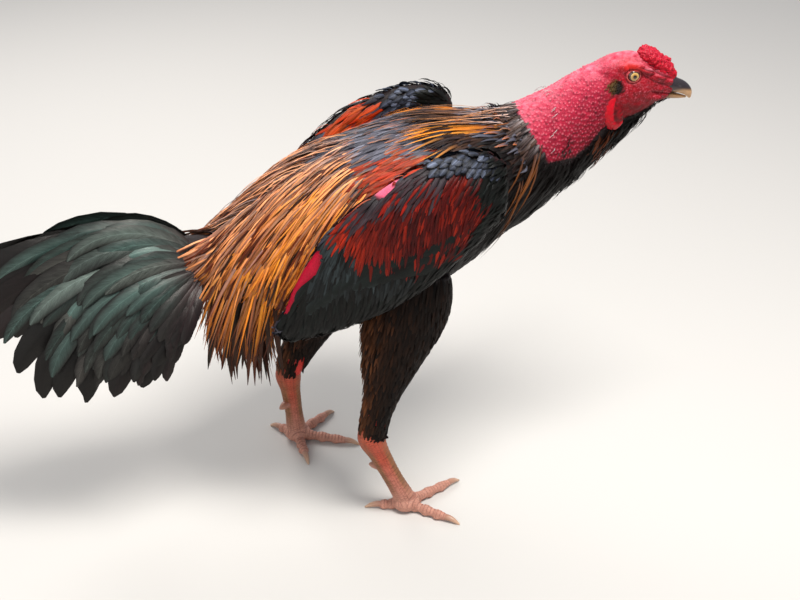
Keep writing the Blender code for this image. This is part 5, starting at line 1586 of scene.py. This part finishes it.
# Gold hackles reach back over the shoulders in two narrow bunches on each side, and a few pale
# thin ones stand off the back.
for low, high, count, far in ((54, 66, 22, RIGHT), (56, 68, 12, LEFT), (26, 40, 16, LEFT)):
    for k in range(count):
        angle = math.radians(draw.uniform(low, high))
        root = CAPE_CUT + NECK_LINE * draw.uniform(0.0, 0.014)
        root += Vector((-0.02 * math.sin(angle), far * math.cos(angle) * 0.05, math.sin(angle) * 0.055))
        length = draw.uniform(0.062, 0.098)
        way = Vector((-1.0, far * (0.06 if low > 40 else 0.20) + draw.gauss(0, 0.03), -0.05))
        spine, ups = laid(torso_tree, root, way, length, STRAND, 0.0032, 0.030, 0.01)
        gold = mix(HACKLE_GOLD, ORANGE, draw.random())
        feathers.append(feather(
            spine, ups, draw.uniform(0.0005, 0.0009), length,
            three(HACKLE_GREY, gold * 0.7, gold), three(HACKLE_DARK, gold * 0.5, gold * 0.8), (0.4, angle / 6),
            draw.gauss(0, 0.2),
        ))
for k in range(14):
    root = CAPE_CUT + NECK_LINE * draw.uniform(0.004, 0.022)
    root += Vector((-0.02, draw.uniform(-0.028, 0.026), 0.055))
    length = draw.uniform(0.060, 0.100)
    way = Vector((-1.0, draw.gauss(0, 0.08), 0.10))
    spine, ups = laid(torso_tree, root, way, length, STRAND, 0.0045, draw.uniform(0.02, 0.07), 0.01, 0.2)
    wisp = mix(HACKLE_GREY, TAN, draw.random())
    feathers.append(feather(
        spine, ups, draw.uniform(0.0004, 0.0007), length, three(FLUFF_PALE, wisp, wisp), three(wisp),
        (0.4, k / 14), 0.0,
    ))
hackle_coat = feather_mesh("hackle_coat", feathers, STRAND, 6, ragged=0.12)
hackle_material = feather_material("hackle_feathers", 0.46, 0.50, 0.5, 0.13, spacing=0.0012, slant=3.0)
finish(hackle_coat, hackle_material, "hackle_feathers", "hackle")

# The wings: small round slate coverts at the shoulder, a maroon bow of fine feathers, greater
# coverts below it, then the long black secondaries and primaries folded over one another.
ROUND = ((0.0, 0.5), (0.2, 0.8), (0.45, 1.0), (0.7, 0.98), (0.88, 0.75), (1.0, 0.3))
QUILL = (
    (0.0, 0.35), (0.08, 0.6), (0.18, 0.85), (0.32, 1.0), (0.48, 1.0), (0.64, 0.98), (0.78, 0.92),
    (0.88, 0.80), (0.95, 0.55), (1.0, 0.15),
)
COVERT_SLATE = seen(56, 60, 72)
COVERT_PALE = seen(106, 114, 134)
COVERT_RIM = seen(12, 12, 14)
BOW_MAROON = seen(64, 10, 6)
BOW_RED = seen(128, 26, 13)
BOW_DARK = seen(34, 9, 7)
SHOULDER_GREY = seen(54, 46, 50)
WING_BLACK = seen(15, 13, 11)
WING_GREEN = seen(18, 22, 20)
SECONDARY_BLUE = seen(56, 64, 66)
wing_material = feather_material("wing_feathers", 0.42, 0.35, 0.5, 0.18, slant=2.0)
wing_rows = through(WING, 80)
# The lower edge of the maroon bow: share along the wing, place up it.
BOW_EDGE = (
    (0.06, 0.30), (0.10, 0.10), (0.20, -0.25), (0.30, -0.60), (0.40, -0.80), (0.50, -0.42),
    (0.60, -0.10), (0.70, 0.35), (0.76, 0.85),
)


def wing_place(side, share, place):
    """A root on a folded wing, with the ways along, up and out there. Past place 1 it is on the inner face."""
    at = min(max(share, 0.0), 1.0) * 79
    i = min(int(at), 78)
    row = wing_rows[i] * (1 - at + i) + wing_rows[i + 1] * (at - i)
    out, up, along = wing_axes(wing_rows, i, side)
    face = 1 if place <= 1 else -1
    level = place if place <= 1 else 2 - place
    bulge = row[4] * max(0.0, 1 - abs(level) ** BODY_SQUARE) ** (1 / BODY_SQUARE)
    centre = Vector((row[0], side * row[1], row[2]))
    return centre + up * row[3] * level + out * bulge * face, along, up, out * face


def bare(place, side):
    """True on the strip and the spot of skin that stay bare of feathers."""
    top, bottom = (mirrored(end, side) for end in FLANK_STRIP)
    run = bottom - top
    share = min(max((place - top).dot(run) / run.length_squared, 0), 1)
    return (place - top - run * share).length < 0.0105 or (place - SHOULDER_SPOT).length < 0.0082


def wing_colours(share, place, draw):
    """Shaft and edge colours of a small wing feather by its place, and whether it is one of the round ones."""
    luck = draw.random()
    lower_edge = float(read_off(BOW_EDGE, share))
    if 0.13 < share < 0.38 and place > 0.30 + 2.0 * max(share - 0.14, 0) and place < 1.65:
        slate = mix(COVERT_SLATE, COVERT_PALE, draw.random() ** 2) * draw.uniform(0.6, 1.1)
        return three(slate, slate, slate * 0.9), three(COVERT_RIM), 1
    if share > 0.34 and place > 0.98:
        if share > 0.57 or luck > 0.82:
            grey = mix(SLATE_DARK, SLATE, draw.random())
            return three(grey * 0.7, grey, grey), three(grey), 0
        hot = mix(ORANGE_RED, ORANGE_DULL, draw.random()) * draw.uniform(0.5, 1.0)
        return three(hot * 0.8, hot, hot), three(hot * 0.7, hot, hot), 0
    if 0.33 < share < 0.60 and place > 0.50 + 1.7 * max(share - 0.42, 0) + draw.gauss(0, 0.06):
        grey = mix(SHOULDER_GREY * 0.5, SHOULDER_GREY, draw.random())
        if luck < 0.25 + 1.6 * max(0.78 - place, 0):
            grey = mix(BOW_MAROON, BOW_RED, draw.random())
        return three(grey * 0.7, grey, grey), three(grey * 0.5, grey, mix(grey, BOW_RED, 0.2)), 0
    if 0.66 < share < 0.80 and place > lower_edge - 0.25:
        blue = mix(WING_BLACK, SECONDARY_BLUE, 0.65 * draw.random())
        return three(blue), three(blue, blue, blue * 1.2), 0
    if 0.56 < share < 0.80 and lower_edge - 0.6 < place < lower_edge - 0.05:
        blue = mix(WING_BLACK, SECONDARY_BLUE, 0.25 * draw.random())
        return three(blue), three(blue, blue, blue * 1.2), 0
    lower = lower_edge + 0.05 * math.sin(share * 70) + draw.gauss(0, 0.07)
    if place > lower and 0.23 + draw.gauss(0, 0.02) < share < 0.68 and place < 1:
        red = mix(BOW_DARK, BOW_MAROON, 0.35 + draw.random())
        hot = 0.5 * draw.random() ** 5
        hot += 0.7 * float(np.interp(share, (0.52, 0.66), (0, 1))) * min(max(place + 0.1, 0), 1)
        red = mix(red, mix(BOW_RED, ORANGE_RED, 0.4), hot)
        return three(red * 0.7, red * 0.95, red), three(red * 0.75, red, red * 1.05), 0
    black = mix(WING_BLACK, WING_GREEN, draw.random()) * draw.uniform(0.8, 1.2)
    return three(black), three(black), 0


for side in (RIGHT, LEFT):
    word = SIDE_NAMES[side]
    tree = wing_trees[side]
    draw = random.Random(20)
    small = []
    fine = []
    for row, share in enumerate(np.arange(0.97, -0.01, -0.0140)):
        at = min(int(share * 79), 78)
        chord = wing_rows[at][3]
        spacing = 0.0030 / max(chord, 0.008)
        for place in np.arange(-1.02 + 0.5 * spacing * (row % 2), 1.96, spacing):
            here = place + draw.uniform(-0.35, 0.35) * spacing
            root, along, up, out = wing_place(side, share, here)
            if bare(root, side):
                continue
            shaft_colour, edge_colour, rounded = wing_colours(share, here, draw)
            down = 1.2 * math.exp(-(((here - 0.05) / 0.75) ** 2))
            down *= np.interp(share, (0.0, 0.2, 0.4, 0.75, 1.0), (0.7, 0.7, 1.0, 0.8, 0.2))
            way = along - up * down + out * 0.03
            way += scatter(draw, 0.06, 0.06, 0.06)
            spot = (share, 0.4 + here * 0.28)
            if rounded:
                if (row + int(place / spacing)) % 2:
                    continue
                length = draw.uniform(0.0095, 0.0125)
                spine, ups = laid(tree, root, way, length, ROUND, draw.uniform(0.0006, 0.0012), 0.12)
                small.append(feather(
                    spine, ups, draw.uniform(0.0026, 0.0034), length, shaft_colour, edge_colour, spot,
                    draw.gauss(0, 0.1),
                ))
            else:
                length = draw.uniform(0.018, 0.027)
                ahead = way.normalized()
                while length > 0.005 and any(bare(root + ahead * length * part, side) for part in (0.5, 0.75, 1)):
                    length -= 0.002
                spine, ups = laid(tree, root, way, length, MANTLE, draw.uniform(0.0006, 0.0014), 0.06)
                fine.append(feather(
                    spine, ups, draw.uniform(0.0011, 0.0018), length, shaft_colour, edge_colour, spot,
                    draw.gauss(0, 0.14),
                ))
    # The round coverts go on over the top of the shoulder.
    for root, share, turn in roots_over(torso_rings, 0.0046, 0.0046, draw):
        inward = read_off(SHOULDER_LINE, root.x)
        if root.z < 0.29 or not 0.056 < root.x < 0.098 or root.y * side < inward + draw.gauss(0, 0.002):
            continue
        if hidden(root, UP, wing_trees.values()):
            continue
        slate = mix(COVERT_SLATE, COVERT_PALE, draw.random() ** 2) * draw.uniform(0.6, 1.1)
        length = draw.uniform(0.0095, 0.0125)
        way = Vector((-1.0, 0.2 * side + draw.gauss(0, 0.08), -0.2))
        spine, ups = laid(coat_tree, root, way, length, ROUND, draw.uniform(0.0020, 0.0030), 0.10)
        small.append(feather(
            spine, ups, draw.uniform(0.0026, 0.0034), length, three(slate, slate, slate * 0.9),
            three(COVERT_RIM), (share, turn), draw.gauss(0, 0.1),
        ))
    coverts = feather_mesh("coverts_" + word, small, ROUND, 7, camber=0.16, ragged=0.05)
    finish(coverts, wing_material, "wing_feathers", "wing_" + word)
    bow = feather_mesh("wing_bow_" + word, fine, MANTLE, 8, ragged=0.14)
    finish(bow, wing_material, "wing_feathers", "wing_" + word)
    # Greater coverts, secondaries and primaries: start share and place, length, half width.
    quills = []
    for k in range(14):
        share = 0.34 + 0.032 * k
        place = min(float(read_off(BOW_EDGE, share)) - 0.02, 0.05)
        quills.append((share, place, 0.050 - 0.0008 * k, 0.0058, 0.0024, WING_GREEN))
    for k in range(12):
        share = 0.30 + 0.034 * k
        place = -0.90 + 0.115 * k
        quills.append((share, place, 0.088 - 0.0022 * k, 0.0080, 0.0016 - 0.00005 * k, WING_BLACK))
    for k in range(6):
        quills.append((0.50 + 0.035 * k, -0.55 + 0.07 * k, 0.082 - 0.004 * k, 0.0072, 0.0006, WING_BLACK))
    large = []
    for share, place, length, half, lift, colour in quills:
        root, along, up, out = wing_place(side, share, place)
        way = along - up * 0.10 * place
        spine, ups = laid(tree, root, way, length, QUILL, lift, 0.02, hug=0.9)
        black = colour * draw.uniform(0.8, 1.3)
        upper_edge = mix(black, SECONDARY_BLUE, 0.3 if share > 0.5 and place > -0.3 else 0.03)
        large.append(feather(
            spine, ups, half, length, three(black), three(black, black, upper_edge), (share, 0.4 + place * 0.28),
            draw.gauss(0, 0.04),
        ))
    flight = feather_mesh("flight_" + word, large, QUILL, 9, (-1, -0.5, 0, 0.5, 1), 0.08, 0.0007, 0.02)
    finish(flight, wing_material, "wing_feathers", "wing_" + word)

# The tail: broad black feathers fanned down and back from the stump, the outer ones shorter,
# with their quills bare at the root, under layers of shorter coverts with a painted green-grey sheen.
TAIL_ROOT = Vector((-0.116, 0.0, 0.236))
TAIL_LEAN = math.radians(22)
TAIL_BROWN = seen(42, 30, 31)
TAIL_BLACK = seen(14, 12, 12)
# The teal and the grey are painted sheen on the coverts.
TAIL_TEAL_SHEEN = seen(50, 64, 60)
TAIL_GREY_SHEEN = seen(76, 68, 64)
TAIL_QUILL = seen(150, 138, 136)
# Main feathers of one side: angle above the level at the root, bend, length, reach outward, half width.
TAIL_FEATHERS = (
    (16, -61, 0.198, 0.010, 0.0130),
    (10, -62, 0.190, 0.016, 0.0126),
    (2, -66, 0.178, 0.020, 0.0122),
    (-10, -78, 0.176, 0.024, 0.0118),
    (-20, -68, 0.152, 0.028, 0.0114),
    (-40, -36, 0.116, 0.032, 0.0108),
    (-52, -18, 0.088, 0.034, 0.0102),
)
# Layers of coverts on one side, the longest first: feathers as above, their number, how far out
# the first lies.
TAIL_COVERT_LAYERS = (
    (
        ((28, -80, 0.172, 0.006, 0.0086), (0, -62, 0.150, 0.022, 0.0080), (-46, -28, 0.092, 0.034, 0.0072)),
        18, 0.0095,
    ),
    (
        ((37, -98, 0.150, 0.005, 0.0080), (0, -64, 0.128, 0.024, 0.0076), (-48, -26, 0.080, 0.035, 0.0070)),
        20, 0.0110,
    ),
    (
        ((43, -104, 0.118, 0.004, 0.0074), (-2, -60, 0.102, 0.026, 0.0070), (-50, -24, 0.066, 0.035, 0.0064)),
        21, 0.0125,
    ),
    (
        ((44, -96, 0.088, 0.003, 0.0066), (-6, -52, 0.078, 0.024, 0.0062), (-54, -20, 0.054, 0.034, 0.0056)),
        21, 0.0140,
    ),
    (
        ((40, -70, 0.056, 0.002, 0.0052), (-10, -40, 0.052, 0.018, 0.0050), (-54, -18, 0.040, 0.026, 0.0046)),
        18, 0.0150,
    ),
)
TAIL_VANE = (
    (0.0, 0.06), (0.05, 0.14), (0.12, 0.40), (0.20, 0.68), (0.30, 0.88), (0.42, 1.0), (0.54, 1.0),
    (0.66, 0.98), (0.76, 0.94), (0.84, 0.86), (0.91, 0.72), (0.96, 0.50), (1.0, 0.12),
)
# Columns of points across a tail feather, as shares of its half width.
TAIL_COLUMNS = (-1, -0.55, 0, 0.55, 1)


def tail_spine(side, angle, bend, length, reach_out, layer, late=1.35):
    """The line of a tail feather, which bends as it goes, and the upward way of its face."""
    shares = [share for share, _ in TAIL_VANE]
    face = Vector((0, side * math.cos(TAIL_LEAN), math.sin(TAIL_LEAN)))
    start = math.radians(angle)
    spine = [TAIL_ROOT + Vector((-0.012 * math.cos(start), side * (0.002 + layer), 0.016 * math.sin(start)))]
    ups = []
    for i, share in enumerate(shares):
        turn = math.radians(angle + bend * share**late)
        out = side * reach_out / length * (1.6 - 1.2 * share)
        way = Vector((-math.cos(turn), out, math.sin(turn))).normalized()
        ups.append((face - way * face.dot(way)).normalized())
        if i + 1 < len(shares):
            spine.append(spine[-1] + way * length * (shares[i + 1] - share))
    return spine, ups


def between(rows, share):
    """A row between the given rows, by share from the first to the last."""
    at = share * (len(rows) - 1)
    low = min(int(at), len(rows) - 2)
    return [a + (b - a) * (at - low) for a, b in zip(rows[low], rows[low + 1])]


tail_material = feather_material("tail_feathers", 0.34, 0.85, 0.9, 0.28, (1.0, 0.98, 0.93), 0.0012, 2.0)
for side in (LEFT, RIGHT):
    draw = random.Random(31)
    main = []
    for k in range(11):
        angle, bend, length, reach_out, half = between(TAIL_FEATHERS, k / 10)
        length *= draw.uniform(0.96, 1.0)
        spine, ups = tail_spine(
            side, angle + draw.gauss(0, 1), bend + draw.gauss(0, 2), length, reach_out, 0.0008 * k, 1.8,
        )
        tone = mix(TAIL_BROWN, TAIL_BLACK, 0.5 + 0.5 * draw.random())
        main.append(feather(
            spine, ups, half, length, three(mix(TAIL_QUILL, tone, 0.7), tone, tone),
            three(tone, tone, tone * 0.8), (k / 11, 0.5 + side * 0.2), draw.gauss(0, 0.08),
        ))
    word = SIDE_NAMES[side]
    tail = feather_mesh("tail_quills_" + word, main, TAIL_VANE, 10, TAIL_COLUMNS, 0.12, 0.0006, 0.04, 0.02)
    finish(tail, tail_material, "tail_feathers", "tail")
    over = []
    for layer_number, (rows, count, first) in enumerate(TAIL_COVERT_LAYERS):
        for k in range(count):
            share = min((k + 0.5 * (layer_number % 2)) / (count - 0.5), 1.0)
            angle, bend, length, reach_out, half = between(rows, share)
            length *= draw.uniform(0.80, 1.08)
            spine, ups = tail_spine(
                side, angle + draw.gauss(0, 2.5), bend + draw.gauss(0, 6), length, reach_out,
                first * (0.25 + 0.75 * min(1, 2.5 * share)) + 0.0003 * k,
            )
            # The covert's gloss colour is painted sheen: lighter on the upper coverts and along the shaft, darker
            # towards the lower ones and the edges.
            low_down = max(share - 0.55, 0) / 0.45
            bright = float(np.interp(share, (0, 0.35, 0.6, 0.8), (2.2, 1.9, 1.3, 0.8)))
            gloss = mix(TAIL_GREY_SHEEN, TAIL_TEAL_SHEEN, 0.35 + draw.random()) * draw.uniform(0.3, 1.5) * bright
            gloss = mix(gloss, mix(TAIL_BLACK, TAIL_BROWN, draw.random()), 0.10 + 0.9 * min(1.3 * low_down, 1))
            root_tone = mix(TAIL_BROWN, gloss, 0.25 * (layer_number < 3))
            over.append(feather(
                spine, ups, half * draw.uniform(0.85, 1.15), length,
                three(mix(TAIL_QUILL, root_tone, 0.88), gloss, gloss * 0.6),
                three(root_tone, mix(gloss, TAIL_BROWN, 0.6) * 0.7, TAIL_BLACK),
                (share, 0.5 + side * 0.2), draw.gauss(0, 0.22),
            ))
    coverts = feather_mesh("tail_coverts_" + word, over, TAIL_VANE, 12, TAIL_COLUMNS, 0.20, 0.0006, 0.04, 0.02)
    finish(coverts, tail_material, "tail_feathers", "tail")

# The thighs: soft black feathers that run down to the hock, brown and fluffy along the rear edge.
THIGH_BLACK = seen(19, 15, 13)
THIGH_BROWN = seen(92, 56, 34)
thigh_material = feather_material("leg_feathers", 0.55, 0.40, 0.5, 0.10, slant=2.5)
for side in (RIGHT, LEFT):
    draw = random.Random(41)
    feathers = []
    rings = path_sections(limb_rows(THIGHS[side]), 60, 60, LIMB_SQUARE, ACROSS, 0.002)
    for root, share, turn in roots_over(rings, 0.0034, 0.0029, draw):
        place, normal, _, _ = thigh_trees[side].find_nearest(root)
        # The inner side of the left one is bare and red above the hock.
        if side == LEFT and root.z < 0.108 and normal.y < 0.1 and -0.040 < root.x < -0.030:
            continue
        rear = max(0.0, -normal.x)
        # They end higher behind the hock than in front of it.
        if root.z < 0.083 + 0.010 * rear:
            continue
        length = draw.uniform(0.012, 0.018) * np.interp(share, (0, 0.6, 1), (1.3, 1.1, 0.55)) * (1 + 0.3 * rear)
        length *= 1 + 0.5 * max(0.0, normal.x) * (share > 0.8)
        way = Vector((-0.25, 0, -1))
        way += Vector((draw.gauss(0, 0.08), draw.gauss(0, 0.08), 0))
        loose = 0.08 + 0.26 * rear * np.interp(share, (0, 0.4, 0.8), (1, 0.6, 0.1))
        spine, ups = laid(thigh_trees[side], root, way, length, CONTOUR, 0.0004, loose)
        tone = mix(THIGH_BLACK, THIGH_BROWN, 0.06 * draw.random() + rear**2 * draw.random())
        tone = tone * draw.uniform(0.7, 1.3)
        feathers.append(feather(
            spine, ups, draw.uniform(0.0010, 0.0017), length, three(tone), three(tone * 0.8, tone, tone * 1.3),
            (share, turn), draw.gauss(0, 0.2),
        ))
    thigh = feather_mesh("thigh_coat_" + SIDE_NAMES[side], feathers, CONTOUR, 50 + side, ragged=0.2)
    finish(thigh, thigh_material, "leg_feathers", "thigh_" + SIDE_NAMES[side])

# The floor: a plain pale sweep under the model.
floor_mesh = bpy.data.meshes.new("floor")
floor_mesh.from_pydata([(-6, -6, 0), (6, -6, 0), (6, 6, 0), (-6, 6, 0)], [], [(0, 1, 2, 3)])
floor = bpy.data.objects.new("floor", floor_mesh)
bpy.context.scene.collection.objects.link(floor)
floor_material = bpy.data.materials.new("floor")
floor_material.use_nodes = True
floor_shader = floor_material.node_tree.nodes["Principled BSDF"]
floor_shader.inputs["Base Color"].default_value = (0.62, 0.60, 0.57, 1)
floor_shader.inputs["Roughness"].default_value = 0.9
floor_mesh.materials.append(floor_material)

# Soft studio light: a large key from the upper front right of the bird, a weak fill and a pale surround.
world = bpy.data.worlds.new("studio")
bpy.context.scene.world = world
world.use_nodes = True
world.node_tree.nodes["Background"].inputs["Color"].default_value = (0.90, 0.93, 1.0, 1)
world.node_tree.nodes["Background"].inputs["Strength"].default_value = 0.46
for name, place, aim, size, power in (
    ("key", (0.30, -0.50, 1.60), (0.03, 0.0, 0.25), 0.6, 30.0),
    ("fill", (-1.0, -1.0, 0.8), (0.0, 0.0, 0.25), 1.2, 5.0),
    ("rim", (-0.3, 1.1, 1.2), (0.05, 0.0, 0.28), 0.8, 12.0),
):
    lamp = bpy.data.lights.new(name, "AREA")
    lamp.size = size
    lamp.energy = power
    lamp.color = (1.0, 0.975, 0.94)
    light = bpy.data.objects.new(name, lamp)
    light.location = place
    light.rotation_euler = (Vector(place) - Vector(aim)).to_track_quat("Z", "Y").to_euler()
    bpy.context.scene.collection.objects.link(light)
bpy.context.scene.view_settings.view_transform = "Standard"

# The camera stands to the bird's right, a little in front of it and above it.
AZIMUTH = math.radians(-15)
ELEVATION = math.radians(30)
DISTANCE = 1.25
# In pixels of a picture 800 wide: the focal length, and how far the aim is right of and above the stand.
PICTURE_WIDTH = 800
FOCAL = 1375
AIM_RIGHT = 48
AIM_ABOVE = 170
level = math.cos(ELEVATION)
back = Vector((math.sin(AZIMUTH) * level, -math.cos(AZIMUTH) * level, math.sin(ELEVATION)))
right = Vector((math.cos(AZIMUTH), math.sin(AZIMUTH), 0))
above = back.cross(right)
eye_point = STAND_SHIFT + back * DISTANCE + (right * AIM_RIGHT + above * AIM_ABOVE) / FOCAL * DISTANCE
camera_data = bpy.data.cameras.new("camera")
camera_data.lens = FOCAL / PICTURE_WIDTH * camera_data.sensor_width
camera = bpy.data.objects.new("camera", camera_data)
camera.matrix_world = Matrix((
    (right.x, above.x, back.x, eye_point.x),
    (right.y, above.y, back.y, eye_point.y),
    (right.z, above.z, back.z, eye_point.z),
    (0, 0, 0, 1),
))
bpy.context.scene.collection.objects.link(camera)
bpy.context.scene.camera = camera
